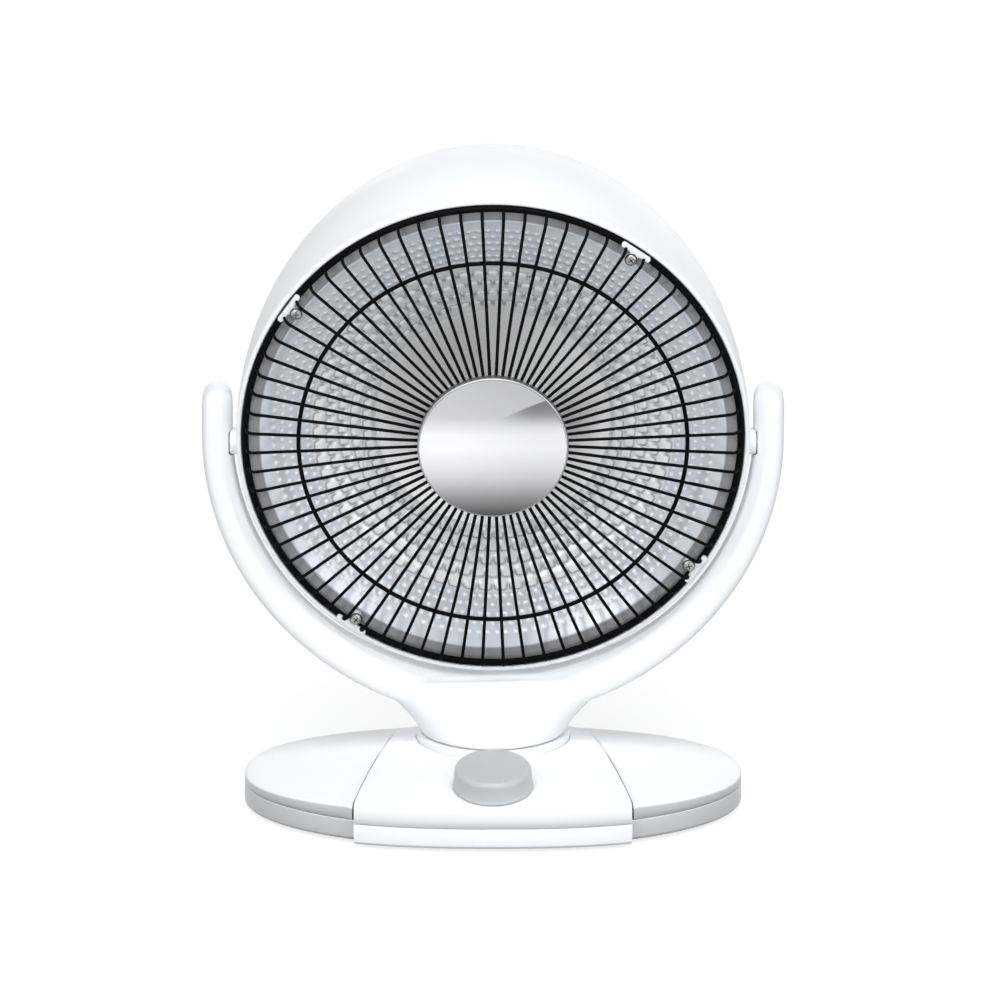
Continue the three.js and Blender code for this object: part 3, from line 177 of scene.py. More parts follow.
def mesh_of(name, points, faces, weld=0.002):
    """A mesh from points in millimetres, with near points joined and its faces turned outward."""
    mesh = bpy.data.meshes.new(name)
    mesh.from_pydata([Vector(p) * MM for p in points], [], faces)
    made = bmesh.new()
    made.from_mesh(mesh)
    bmesh.ops.remove_doubles(made, verts=made.verts, dist=weld * MM)
    bmesh.ops.recalc_face_normals(made, faces=made.faces)
    made.to_mesh(mesh)
    made.free()
    mesh.validate()
    return mesh


def grid_faces(rows, columns, closed=False):
    """Quads over rows of points that each close. With closed, the last row joins the first."""
    faces = []
    for i in range(rows if closed else rows - 1):
        here, following = i * columns, (i + 1) % rows * columns
        for j in range(columns):
            beside = (j + 1) % columns
            faces.append((here + j, here + beside, following + beside, following + j))
    return faces


def circle(radius, depth, sides, lift=0):
    """Points round the bowl's axis, or round any Y axis."""
    angles = [2 * math.pi * k / sides for k in range(sides)]
    return [(radius * math.cos(a), depth, radius * math.sin(a) + lift) for a in angles]


def lathe(name, profile, sides, rise=None):
    """A closed profile of (radius, depth) turned about the bowl's axis, or about any Y axis."""
    points = []
    for radius, depth in profile:
        points += circle(radius, depth, sides, rise(depth) if rise else 0)
    return mesh_of(name, points, grid_faces(len(profile), sides, True))


def pin(name, radius, start, end, sides=24):
    """A round pin along Y."""
    return lathe(name, [(AXIS_R, start), (radius, start), (radius, end), (AXIS_R, end)], sides)


def upright(mesh):
    """Turns a lathed mesh so that its depth becomes its height."""
    mesh.transform(Matrix.Rotation(math.radians(90), 4, "X"))
    return mesh


def rounded(corners, radii, steps=5):
    """A closed outline with each corner replaced by an arc-like curve of about that radius."""
    outline = []
    count = len(corners)
    for i, corner in enumerate(corners):
        radius = radii[i] if isinstance(radii, (list, tuple)) else radii
        here, before, after = (Vector(corners[k % count]) for k in (i, i - 1, i + 1))
        first = here + (before - here).normalized() * min(radius, (before - here).length * 0.49)
        last = here + (after - here).normalized() * min(radius, (after - here).length * 0.49)
        for k in range(steps + 1):
            t = k / steps
            outline.append(tuple(first * (1 - t) ** 2 + here * 2 * t * (1 - t) + last * t**2))
    return outline


def tube(path, radius, sides, closed=False):
    """Points and faces of a round wire along a path, carried along it without twist."""
    path = [Vector(p) for p in path]
    count = len(path)
    points = []
    side = None
    for i, here in enumerate(path):
        before = path[(i - 1) % count] if closed else path[max(i - 1, 0)]
        after = path[(i + 1) % count] if closed else path[min(i + 1, count - 1)]
        along = (after - before).normalized()
        if side is None:
            side = along.orthogonal().normalized() if not closed else along.cross(Vector((0, 1, 0)))
        side = (side - along * side.dot(along)).normalized()
        up = along.cross(side)
        for k in range(sides):
            angle = 2 * math.pi * k / sides
            points.append(here + side * radius * math.cos(angle) + up * radius * math.sin(angle))
    faces = grid_faces(count, sides, closed)
    if not closed:
        faces.append(tuple(reversed(range(sides))))
        faces.append(tuple(range((count - 1) * sides, count * sides)))
    return points, faces


def gather(name, parts, weld=0.0005):
    """One mesh from several (points, faces) pairs."""
    points, faces = [], []
    for some_points, some_faces in parts:
        start = len(points)
        points += some_points
        faces += [tuple(start + i for i in face) for face in some_faces]
    return mesh_of(name, points, faces, weld)


def combined(mesh, tools, operation):
    """The mesh with other meshes joined to it or taken from it."""
    body = added("combined", mesh)
    for tool in tools:
        modifier = body.modifiers.new("combine", "BOOLEAN")
        modifier.operation = operation
        modifier.solver = "EXACT"
        modifier.object = added("tool", tool)
    return applied(body)


def cut_from(mesh, *tools):
    """The mesh with the tools' volumes taken away."""
    return combined(mesh, tools, "DIFFERENCE")


def applied(body):
    """The object's mesh with its modifiers applied. The object and its helpers are removed."""
    evaluated = body.evaluated_get(bpy.context.evaluated_depsgraph_get())
    mesh = bpy.data.meshes.new_from_object(evaluated)
    helpers = [m.object for m in body.modifiers if m.type == "BOOLEAN"]
    bpy.data.objects.remove(body)
    for helper in helpers:
        bpy.data.objects.remove(helper)
    return mesh


def smooth_step(value, low, high):
    """0 below low, 1 above high and an eased rise between."""
    t = min(1, max(0, (value - low) / (high - low)))
    return t * t * (3 - 2 * t)


# ---- materials ----------------------------------------------------------------------------------


# How fine the materials' noises are, per metre, and the range that they mostly lie in.
CLOUDS, GLOSS_CLOUDS, GRAIN = 14, 60, 2600
METAL_CLOUDS, METAL_GLOSS_CLOUDS, METAL_GRAIN = 40, 300, 900
SPUN_LINES = 2500
NOISE_RANGE = (0.3, 0.7)


def node_material(name):
    material = bpy.data.materials.new(name)
    material.use_nodes = True
    return material, material.node_tree, material.node_tree.nodes["Principled BSDF"]


def node_of(tree, kind, inputs, **settings):
    """A shader node. Each of its inputs takes a value or another node's output."""
    made = tree.nodes.new(kind)
    for name, value in settings.items():
        setattr(made, name, value)
    for key, value in inputs.items():
        if isinstance(value, bpy.types.NodeSocket):
            tree.links.new(value, made.inputs[key])
        else:
            made.inputs[key].default_value = value
    return made


def noise(tree, scale, detail):
    """A noise over the piece's own coordinates, in metres."""
    place = tree.nodes.new("ShaderNodeTexCoord").outputs["Object"]
    inputs = {"Scale": scale, "Detail": detail, "Vector": place}
    return node_of(tree, "ShaderNodeTexNoise", inputs).outputs["Fac"]


def between(tree, amount, low, high):
    """A value that runs from low to high as amount runs over a noise's usual range."""
    first, last = NOISE_RANGE
    inputs = {"Value": amount, "From Min": first, "From Max": last, "To Min": low, "To Max": high}
    return node_of(tree, "ShaderNodeMapRange", inputs).outputs["Result"]


def eased(tree, value, low, high, start=0.0, end=1.0):
    """A value that runs smoothly from start to end while another runs from low to high."""
    inputs = {"Value": value, "From Min": low, "From Max": high, "To Min": start, "To Max": end}
    return node_of(tree, "ShaderNodeMapRange", inputs, interpolation_type="SMOOTHSTEP").outputs["Result"]


def steps_of_colour(tree, amount, stops):
    """A colour ramp from (place, colour) stops."""
    ramp = node_of(tree, "ShaderNodeValToRGB", {"Fac": amount})
    for i, (place, colour) in enumerate(stops):
        stop = ramp.color_ramp.elements[i] if i < 2 else ramp.color_ramp.elements.new(place)
        stop.position = place
        stop.color = (*colour, 1)
    return ramp.outputs["Color"]


def two_tones(tree, amount, first, second):
    """A colour that runs from first to second over a noise's usual range."""
    return steps_of_colour(tree, amount, zip(NOISE_RANGE, (first, second)))


def bumped(tree, shader, height, distance, strength):
    """Fine relief from a noise, its distance in millimetres."""
    inputs = {"Distance": distance * MM, "Strength": strength, "Height": height}
    tree.links.new(node_of(tree, "ShaderNodeBump", inputs).outputs["Normal"], shader.inputs["Normal"])


def plastic(name, first, second, roughness, grain=0.02, gloss=0.5):
    """Moulded plastic: two close tones in soft clouds, a fine grain and an uneven gloss."""
    material, tree, shader = node_material(name)
    tree.links.new(two_tones(tree, noise(tree, CLOUDS, 3), first, second), shader.inputs["Base Color"])
    tree.links.new(between(tree, noise(tree, GLOSS_CLOUDS, 5), *roughness), shader.inputs["Roughness"])
    bumped(tree, shader, noise(tree, GRAIN, 2), grain, 0.5)
    shader.inputs["Specular IOR Level"].default_value = gloss
    return material


def metal(name, first, second, roughness, grain=0.01):
    """Bare metal: two close tones, a fine grain and an uneven gloss."""
    material, tree, shader = node_material(name)
    shader.inputs["Metallic"].default_value = 1
    tree.links.new(two_tones(tree, noise(tree, METAL_CLOUDS, 4), first, second), shader.inputs["Base Color"])
    gloss = between(tree, noise(tree, METAL_GLOSS_CLOUDS, 4), *roughness)
    tree.links.new(gloss, shader.inputs["Roughness"])
    bumped(tree, shader, noise(tree, METAL_GRAIN, 3), grain, 0.6)
    return material


def math_of(tree, operation, *inputs):
    return node_of(tree, "ShaderNodeMath", dict(enumerate(inputs)), operation=operation).outputs["Value"]


def product(tree, first, *others):
    for other in others:
        first = math_of(tree, "MULTIPLY", first, other)
    return first


def length_of(tree, first, second):
    """The length of a line from the two coordinates of its end."""
    squares = [product(tree, value, value) for value in (first, second)]
    return math_of(tree, "SQRT", math_of(tree, "ADD", *squares))


def own_place(tree):
    """The piece's own coordinates: across, depth and up."""
    place = tree.nodes.new("ShaderNodeTexCoord").outputs["Object"]
    split = node_of(tree, "ShaderNodeSeparateXYZ", {"Vector": place})
    return split.outputs["X"], split.outputs["Y"], split.outputs["Z"]


def turned_place(tree):
    """Radius and angle about the piece's own Y axis."""
    across, _, up = own_place(tree)
    return length_of(tree, across, up), math_of(tree, "ARCTAN2", up, across)


def mixed(tree, amount, first, second, blend="MIX"):
    """A mix of two colours. Each is a colour of its own or another node's output."""
    first, second = ((*value, 1) if isinstance(value, tuple) else value for value in (first, second))
    inputs = {0: amount, 6: first, 7: second}
    return node_of(tree, "ShaderNodeMix", inputs, data_type="RGBA", blend_type=blend).outputs[2]


def mixed_value(tree, amount, first, second):
    rest = product(tree, math_of(tree, "SUBTRACT", 1, amount), first)
    return math_of(tree, "ADD", rest, product(tree, amount, second))


def grey(tree, value):
    inputs = {"Red": value, "Green": value, "Blue": value}
    return node_of(tree, "ShaderNodeCombineColor", inputs).outputs["Color"]


def spun_grooves(tree, shader, radius, depth):
    """Fine turned rings about the axis, which spread a highlight into fans. Gives their noise."""
    place = node_of(tree, "ShaderNodeCombineXYZ", {"X": radius}).outputs["Vector"]
    inputs = {"Scale": SPUN_LINES, "Detail": 2, "Vector": place}
    rings = node_of(tree, "ShaderNodeTexNoise", inputs).outputs["Fac"]
    tangent = node_of(tree, "ShaderNodeTangent", {}, direction_type="RADIAL", axis="Y")
    tree.links.new(tangent.outputs["Tangent"], shader.inputs["Tangent"])
    bumped(tree, shader, rings, depth, 0.5)
    return rings


def tones_of(material):
    """A finished plastic's nodes, its shader and its colour, to mix further tones into."""
    tree = material.node_tree
    shader = tree.nodes["Principled BSDF"]
    return tree, shader, shader.inputs["Base Color"].links[0].from_socket


def base_plastic_painted_shade():
    """The base's white plastic with painted shade: greyer side walls beside the centre panel, dark in the
    seams round it and darker on faces that look down.
    """
    material = plastic("base_moulded_painted_shade", (0.93, 0.94, 0.955), (0.95, 0.96, 0.975), (0.32, 0.4), 0.02, 0.35)
    tree, shader, white = tones_of(material)
    across, row_depth, _ = own_place(tree)
    depth = math_of(tree, "SUBTRACT", row_depth, SWIVEL_Y * MM)
    normal = tree.nodes.new("ShaderNodeNewGeometry").outputs["Normal"]
    facing_up = node_of(tree, "ShaderNodeSeparateXYZ", {"Vector": normal}).outputs["Z"]
    wall = eased(tree, facing_up, 0.25, 0.75, 1, 0)
    side = PANEL_HALF_WIDTH * MM
    beside_panel = eased(tree, math_of(tree, "ABSOLUTE", across), side - 0.4 * MM, side + 0.6 * MM)
    in_front = eased(tree, depth, 0, 50 * MM, 1, 0)
    # Painted shade: upright walls beside the panel's front are painted greyer than the lit tops.
    walls = mixed(tree, product(tree, beside_panel, in_front, wall), white, (0.6, 0.615, 0.625))
    within_panel = math_of(tree, "SUBTRACT", 1, beside_panel)
    corner = PANEL_CORNER_Y * MM
    behind_corners = eased(tree, depth, corner, corner + MM)
    arc = PANEL_REAR_R * MM
    rear_arc = eased(tree, length_of(tree, across, depth), arc + 2 * MM, arc + 3.5 * MM, 0.25, 0)
    flanks = eased(tree, depth, -30 * MM, -10 * MM, 1, 0)
    # Painted shade in the seams round the panel, where the gaps fall into shadow.
    seam_shade = product(tree, within_panel, behind_corners, math_of(tree, "MAXIMUM", rear_arc, flanks), wall)
    # Painted shade on faces that look down.
    below = eased(tree, facing_up, -0.5, -0.1, 0.4, 0)
    dark = math_of(tree, "MAXIMUM", seam_shade, below)
    tree.links.new(mixed(tree, dark, walls, (0.1, 0.102, 0.105)), shader.inputs["Base Color"])
    return material


WHITE_TONES = [(0.9, 0.915, 0.935), (0.92, 0.935, 0.95), (0.3, 0.38)]


def hood_plastic_painted_shade():
    """The hood's white plastic, with painted shade that makes it greyer towards its back."""
    material = plastic("hood_moulded_painted_shade", *WHITE_TONES)
    tree, shader, white = tones_of(material)
    _, depth, _ = own_place(tree)
    # Painted shade: greyer with depth behind the rim, where the hood turns away from the light.
    amount = eased(tree, depth, 20 * MM, 85 * MM)
    tree.links.new(mixed(tree, amount, white, (0.62, 0.635, 0.655)), shader.inputs["Base Color"])
    return material


# The bright reflector's zones, as (radius in mm, colour): spun centre, scales, dots, plain band, flange. The
# flange's dark grey is painted shade.
REFLECTOR_ZONES = [
    (14, (0.92, 0.92, 0.92)), (69, (0.92, 0.92, 0.92)), (71, (0.9, 0.915, 0.94)), (107.5, (0.9, 0.92, 0.95)),
    (109.5, (0.64, 0.68, 0.745)), (134, (0.7, 0.74, 0.81)), (138.8, (0.68, 0.72, 0.79)),
    (139.8, (0.24, 0.245, 0.255)), (147, (0.28, 0.28, 0.29)),
]
REFLECTOR_REACH = 0.15  # metres, the ramp's full length
# The centre's fans are painted light and shade in its colour, brightest at this angle and opposite it.
PAINTED_FAN_ANGLE = math.radians(25)  # the brushed centre's bright fans, from the right upward


def reflector_metal():
    """Bright metal in zones, with painted light and shade: a spun centre with painted fans of light and
    shade, scales and dots with painted highlights on their crests, painted dark shade arcs on the scales, and
    a flange darkened by painted shade.
    """
    material, tree, shader = node_material("reflector_metal")
    radius, angle = turned_place(tree)
    rings = spun_grooves(tree, shader, radius, 0.002)
    stops = [(zone_r * MM / REFLECTOR_REACH, colour) for zone_r, colour in REFLECTOR_ZONES]
    ground = steps_of_colour(tree, math_of(tree, "DIVIDE", radius, REFLECTOR_REACH), stops)
    relief, outline = (
        node_of(tree, "ShaderNodeAttribute", {}, attribute_name=name).outputs["Fac"]
        for name in ("relief", "outline")
    )
    # Painted highlight: the dimples' crests are painted brighter, and painted shade draws dark arcs on the
    # scales' outer sides.
    crests_painted_bright = mixed(tree, eased(tree, relief, 0.02, 0.6), ground, (0.98, 0.985, 0.99))
    colour = mixed(tree, outline, crests_painted_bright, (0.27, 0.275, 0.29))
    spun_edge = SPUN_R * MM
    before_edge, after_edge = spun_edge - 4 * MM, spun_edge + 4 * MM
    # Painted light and shade: bright and grey fans painted round the spun centre.
    doubled = product(tree, math_of(tree, "SUBTRACT", angle, PAINTED_FAN_ANGLE), 2)
    painted_fan_depth = eased(tree, radius, before_edge, spun_edge + MM, 0.17, 0.03)
    painted_fans = product(tree, math_of(tree, "COSINE", doubled), painted_fan_depth)
    uneven = product(tree, math_of(tree, "SUBTRACT", rings, 0.5), 0.25)
    shade = math_of(tree, "ADD", math_of(tree, "ADD", painted_fans, uneven), 1)
    tree.links.new(mixed(tree, 1.0, colour, grey(tree, shade), "MULTIPLY"), shader.inputs["Base Color"])
    _, _, up = own_place(tree)
    fan_metal = eased(tree, math_of(tree, "DIVIDE", up, radius), -0.3, 0.5, 0.85, 0.1)
    at_edge = eased(tree, radius, spun_edge - 2 * MM, spun_edge + 2 * MM)
    flange_metal = eased(tree, radius, (DISH_R - 0.6) * MM, (DISH_R + 0.2) * MM, 0, 0.1)
    metallic = math_of(tree, "SUBTRACT", mixed_value(tree, at_edge, fan_metal, 0.22), flange_metal)
    tree.links.new(metallic, shader.inputs["Metallic"])
    roughness = math_of(tree, "ADD", eased(tree, radius, before_edge, after_edge, 0.36, 0.2), uneven)
    tree.links.new(roughness, shader.inputs["Roughness"])
    tree.links.new(eased(tree, radius, before_edge, after_edge, 0.75, 0.2), shader.inputs["Anisotropic"])
    return material


# The cap's polished face from its lower edge to its top, as (height over the face's radius, grey): a painted
# reflection, dark at the lower edge and brightest across the middle.
CAP_PAINTED_REFLECTION = [
    (-1.0, 0.05), (-0.93, 0.09), (-0.85, 0.15), (-0.7, 0.26), (-0.55, 0.41), (-0.4, 0.54), (-0.25, 0.63),
    (0.0, 0.74), (0.2, 0.71), (0.32, 0.6), (0.45, 0.48), (0.98, 0.43),
]


def cap_chrome():
    """Polished chrome with a painted reflection: a bright band across its middle, darker towards its lower
    edge, a lighter left side and an oblique sheen at the upper right.
    """
    material, tree, shader = node_material("cap_chrome")
    shader.inputs["Metallic"].default_value = 1
    across, _, up = own_place(tree)
    right = math_of(tree, "DIVIDE", across, CAP_R * MM)
    height = math_of(tree, "DIVIDE", up, CAP_R * MM)
    share = product(tree, math_of(tree, "ADD", height, 1), 0.5)
    stops = [((place + 1) / 2, (shade, shade, shade * 1.015)) for place, shade in CAP_PAINTED_REFLECTION]
    ground = steps_of_colour(tree, share, stops)
    # Painted reflection: a band at the upper right, below an oblique edge, is painted darker, so that the
    # face above the edge reads as a highlight.
    sweep = math_of(tree, "POWER", math_of(tree, "MAXIMUM", right, 0), 0.8)
    edge = math_of(tree, "ADD", product(tree, sweep, 0.45), 0.36)
    below = math_of(tree, "SUBTRACT", edge, height)
    inside = product(tree, eased(tree, below, 0, 0.02), eased(tree, height, 0.28, 0.6))
    sheen = product(tree, inside, eased(tree, right, 0, 0.5, 0, 0.55))
    # Painted light: the left side is painted a little lighter, the right a little darker.
    painted_left_light = eased(tree, right, -0.8, 0.8, 0.06, -0.06)
    shade = math_of(tree, "SUBTRACT", math_of(tree, "ADD", painted_left_light, 1), sheen)
    tree.links.new(mixed(tree, 1.0, ground, grey(tree, shade), "MULTIPLY"), shader.inputs["Base Color"])
    tree.links.new(between(tree, noise(tree, METAL_GLOSS_CLOUDS, 4), 0.2, 0.26), shader.inputs["Roughness"])
    bumped(tree, shader, noise(tree, METAL_GRAIN, 3), 0.002, 0.4)
    return material


WHITE = plastic("white_moulded", *WHITE_TONES)
PANEL_WHITE = plastic("panel_moulded", (0.89, 0.9, 0.915), (0.91, 0.92, 0.935), (0.32, 0.4))
KNOB_GREY = plastic("knob_moulded", (0.5, 0.525, 0.54), (0.54, 0.56, 0.575), (0.34, 0.42))
BASE_WHITE = base_plastic_painted_shade()
HOOD_WHITE_PAINTED_SHADE = hood_plastic_painted_shade()
CLIP_WHITE = plastic("clip_moulded", (0.88, 0.89, 0.9), (0.91, 0.915, 0.92), (0.3, 0.38))
BLACK = plastic("black_moulded", (0.012, 0.012, 0.013), (0.02, 0.02, 0.022), (0.4, 0.5))
NYLON = plastic("nylon", (0.72, 0.72, 0.68), (0.78, 0.78, 0.74), (0.45, 0.55))
RUBBER = plastic("rubber", (0.02, 0.02, 0.021), (0.035, 0.035, 0.036), (0.7, 0.85), 0.06)
CERAMIC = plastic("ceramic", (0.74, 0.7, 0.62), (0.82, 0.78, 0.7), (0.55, 0.75), 0.05)
STEEL = metal("zinc_steel", (0.28, 0.28, 0.275), (0.36, 0.36, 0.355), (0.24, 0.34))
# Painted shade: near-black steel for the screws' recesses and the rims of their heads.
STEEL_PAINTED_SHADE = metal("steel_painted_shade", (0.03, 0.03, 0.03), (0.06, 0.06, 0.06), (0.4, 0.5))
BLACK_WIRE = plastic("black_enamel", (0.002, 0.002, 0.002), (0.004, 0.004, 0.0045), (0.38, 0.5), 0.03, 0.03)
HOT_WIRE = metal("oxidised_wire", (0.1, 0.085, 0.08), (0.19, 0.165, 0.15), (0.4, 0.55), 0.02)
CHROME = cap_chrome()
BRIGHT_EDGE = metal("chrome_edge", (0.3, 0.3, 0.31), (0.38, 0.38, 0.39), (0.3, 0.38), 0.003)
REFLECTOR = reflector_metal()

# ---- head ---------------------------------------------------------------------------------------

HEAD_SIDES = 192


def hood_rise(depth):
    """The hood's middle climbs towards the back, from an eased start to the back cover's seat."""
    ease = 8
    past = min(depth, COVER_SEAT) - LEDGE_BACK
    if past > ease:
        return HOOD_RISE * past
    return HOOD_RISE * max(0, past + ease) ** 2 / (4 * ease)


def hood_outline():
    """The hood's outside from its rim to its back cover, as (radius, depth)."""
    turn_end = math.asin(HOOD_ELLIPSE_DEPTH / HOOD_LENGTH)
    steps = 36
    points = []
    for i in range(1, steps + 1):
        turn = turn_end * i / steps
        points.append(Vector((RIM_R * math.cos(turn), HOOD_LENGTH * math.sin(turn))))
    last = points[-1]
    slope = RIM_R / HOOD_LENGTH * math.tan(turn_end)
    corner = Vector((last.x - slope * (HOOD_DEPTH - last.y), HOOD_DEPTH))
    end = Vector((COVER_R + 1.2, HOOD_DEPTH))
    corner_steps = 14
    for i in range(1, corner_steps + 1):
        t = i / corner_steps
        points.append(last * (1 - t) ** 2 + corner * 2 * t * (1 - t) + end * t**2)
    return points


def offset_inward(points, distance):
    """An outline moved towards its inside, to give a shell its wall."""
    moved = []
    for i, here in enumerate(points):
        way = (points[min(i + 1, len(points) - 1)] - points[max(i - 1, 0)]).normalized()
        moved.append(Vector((here.x - distance * way.y, here.y + distance * way.x)))
    return moved


def hood():
    """The head's shell: rounded rim, outside, the back cover's seat, inside and the dish's ledge."""
    outside = hood_outline()
    inside = [p for p in offset_inward(outside, HOOD_WALL) if 12 < p.y < COVER_SEAT - HOOD_WALL]
    inner_r = GUARD_R + GUARD_RING_WIRE + 0.35
    lip = -0.8
    rim = [
        (inner_r, LEDGE_DEPTH), (inner_r, lip + 0.7), (inner_r + 0.3, lip + 0.2), (inner_r + 0.8, lip),
        (RIM_R - 1, lip), (RIM_R - 0.35, lip + 0.25), (RIM_R, lip + 0.9),
    ]
    back = [
        (COVER_R + 0.6, HOOD_DEPTH - 0.2), (COVER_R + 0.3, HOOD_DEPTH - 0.8), (COVER_R + 0.3, COVER_SEAT),
        (COVER_R - 8, COVER_SEAT), (COVER_R - 8, COVER_SEAT - HOOD_WALL),
    ]
    profile = rim + [tuple(p) for p in outside] + back + [tuple(p) for p in reversed(inside)]
    profile += [(inner_r, LEDGE_BACK), (LEDGE_R, LEDGE_BACK), (LEDGE_R, LEDGE_DEPTH)]
    mesh = lathe("hood_shell", profile, HEAD_SIDES, hood_rise)
    place_piece(mesh, "hood_shell", "head", "white_plastic", HOOD_WHITE_PAINTED_SHADE, ["hood"], BOWL, 50)


def pivot_boss(side, name):
    """A round boss on the hood's side that the yoke's bolt turns in."""
    inner = RIM_R - 12
    profile = [(AXIS_R, inner), (PIVOT_BOSS_R, inner), (PIVOT_BOSS_R, PIVOT_BOSS_OUT - 1)]
    profile += [(PIVOT_BOSS_R - 0.4, PIVOT_BOSS_OUT - 0.3), (PIVOT_BOSS_R - 1.2, PIVOT_BOSS_OUT)]
    profile += [(3.6, PIVOT_BOSS_OUT), (AXIS_R, PIVOT_BOSS_OUT)]
    mesh = lathe(name, profile, 48)
    mesh.transform(Matrix.Rotation(-side * math.pi / 2, 4, "Z"))
    place = shift(0, SWIVEL_Y, PIVOT_Z)
    place_piece(mesh, name, "head", "white_plastic", WHITE, place=place)


def back_cover():
    """The round back cover, with rows of round-ended air slots in two columns."""
    edge = 0.5
    profile = [
        (AXIS_R, 0.3), (COVER_R - edge, 0.3), (COVER_R, 0.3 + edge), (COVER_R, COVER_THICKNESS - edge),
        (COVER_R - edge, COVER_THICKNESS), (AXIS_R, COVER_THICKNESS),
    ]
    disc = lathe("back_cover_disc", profile, HEAD_SIDES)
    field, bar, slot_height, pitch, rows = COVER_R - 15, 3.2, 4.4, 17, 3
    slots = []
    for row in range(-rows, rows + 1):
        height = row * pitch
        half = math.sqrt(field**2 - height**2)
        for side in (-1, 1):
            low, high = sorted((side * bar, side * half))
            corners = [(low, height - slot_height / 2), (high, height - slot_height / 2)]
            corners += [(high, height + slot_height / 2), (low, height + slot_height / 2)]
            slots.append(prism_parts(rounded(corners, slot_height / 2, 4), -1, COVER_THICKNESS + 1))
    mesh = cut_from(disc, gather("back_slots", slots))
    place = BOWL @ shift(0, COVER_SEAT, hood_rise(COVER_SEAT))
    place_piece(mesh, "back_grille", "head", "white_plastic", WHITE, ["back_cover"], place, 30)


def prism_parts(outline, near, far):
    """Points and faces of an (x, z) outline raised along Y from near to far."""
    count = len(outline)
    points = [(x, near, z) for x, z in outline] + [(x, far, z) for x, z in outline]
    faces = grid_faces(2, count)
    faces.append(tuple(range(count)))
    faces.append(tuple(reversed(range(count, 2 * count))))
    return points, faces


# ---- reflector ----------------------------------------------------------------------------------

SCALE_ROWS = 5
SCALE_PITCH = 7.4
SCALE_OUTER_R = 104.5
SCALE_HEIGHT = 0.62
DOT_RADII = [111, 116, 121, 126, 131]
DOT_R = 1.5
DOT_HEIGHT = 0.5
DOTS_AROUND = 144


def dish_depth(radius):
    return FLANGE_DEPTH + DISH_DEPTH * (1 - (radius / DISH_R) ** 2)


def scale_place(radius, angle):
    """Where a place lies on its scale: across and towards the middle, from -1 to 1, or well outside it."""
    row = (SCALE_OUTER_R - radius) / SCALE_PITCH
    if not -0.5 < row < SCALE_ROWS - 0.5:
        return 2, 2
    nearest = round(row)
    turn = angle * WIRE_COUNT / (2 * math.pi) + 0.5 * (nearest % 2)
    return 2 * (turn - math.floor(turn) - 0.5), 2 * (row - nearest)


def scale_size(across, inward):
    """0 in the middle of a scale and 1 at its rounded square edge."""
    return (abs(across) ** 3.4 + abs(inward) ** 3.4) ** (1 / 3.4)


def scale_painted_shade_arc(radius, angle):
    """1 on the thin dark arc of painted shade round a scale's outer side, 0 elsewhere."""
    across, inward = scale_place(radius, angle)
    off = abs(scale_size(across, inward) - 0.84) / 0.26
    return max(0, 1 - off) * smooth_step(-inward, -0.5, 0.2)


def dimple(radius, angle):
    """How far the dish's dimples stand out at a place: rows of scales inside, round dots outside."""
    across, inward = scale_place(radius, angle)
    height = SCALE_HEIGHT * max(0, 1 - scale_size(across, inward) ** 3) ** 0.9
    for k, middle in enumerate(DOT_RADII):
        if abs(radius - middle) < 2 * DOT_R:
            step = 2 * math.pi / DOTS_AROUND
            turn = angle / step + 0.5 * (k % 2)
            across = (turn - math.floor(turn) - 0.5) * step * radius
            apart = math.hypot(across, radius - middle) / DOT_R
            if apart < 1:
                height = DOT_HEIGHT * (1 - apart**2) ** 1.5
    return height


def reflector():
    """The dish with its dimples, its flange and a plain back a millimetre behind."""
    sides = WIRE_COUNT * 12  # the same number of sides to each scale
    inner_rings = [SOCKET_HOLE_R + (SPUN_R - SOCKET_HOLE_R) * i / 22 for i in range(22)]
    outer_rings = [SPUN_R + (TEXTURE_R - SPUN_R) * i / 80 for i in range(81)]
    lip = [136.5, 138.2, 139.0]
    profile = [(r, dish_depth(r)) for r in inner_rings + outer_rings + lip]
    profile += [(DISH_R + 0.1, FLANGE_DEPTH + 0.35), (DISH_R + 0.8, FLANGE_DEPTH + 0.05)]
    profile += [(141.5, FLANGE_DEPTH), (144.5, FLANGE_DEPTH), (FLANGE_R, FLANGE_DEPTH)]
    points = []
    for radius, depth in profile:
        for k in range(sides):
            angle = 2 * math.pi * k / sides
            out = dimple(radius, angle) if radius < DISH_R else 0
            points.append((radius * math.cos(angle), depth - out, radius * math.sin(angle)))
    rows = len(profile)
    faces = grid_faces(rows, sides)
    coarse = [(FLANGE_R, FLANGE_DEPTH + 1), (DISH_R + 1, FLANGE_DEPTH + 1)]
    coarse += [(r, dish_depth(r) + 1) for r in (120, 90, 60, 35, SOCKET_HOLE_R)]
    start = len(points)
    for radius, depth in coarse:
        points += circle(radius, depth, sides)
    back = grid_faces(len(coarse), sides)
    faces += [tuple(start + i for i in face) for face in back]
    last = start + (len(coarse) - 1) * sides
    for k in range(sides):
        following = (k + 1) % sides
        rim = (rows - 1) * sides
        faces.append((rim + k, rim + following, start + following, start + k))
        faces.append((last + k, last + following, following, k))
    mesh = mesh_of("dimpled_reflector", points, faces, 0.0002)
    # The relief sets the painted highlight on the crests and the outline sets the painted shade arcs, in the
    # reflector's colour.
    relief = mesh.attributes.new("relief", "FLOAT", "POINT")
    outline = mesh.attributes.new("outline", "FLOAT", "POINT")
    for vertex, crest, arc in zip(mesh.vertices, relief.data, outline.data):
        x, _, z = vertex.co / MM
        radius, angle = math.hypot(x, z), math.atan2(z, x)
        crest.value = min(1, dimple(radius, angle) / DOT_HEIGHT)
        arc.value = scale_painted_shade_arc(radius, angle)
    finish = "bright_aluminium", REFLECTOR
    place_piece(mesh, "dimpled_reflector", "head", *finish, ["reflector"], BOWL, 60, own_axes=True)


# ---- guard --------------------------------------------------------------------------------------

RING_STEPS = 216


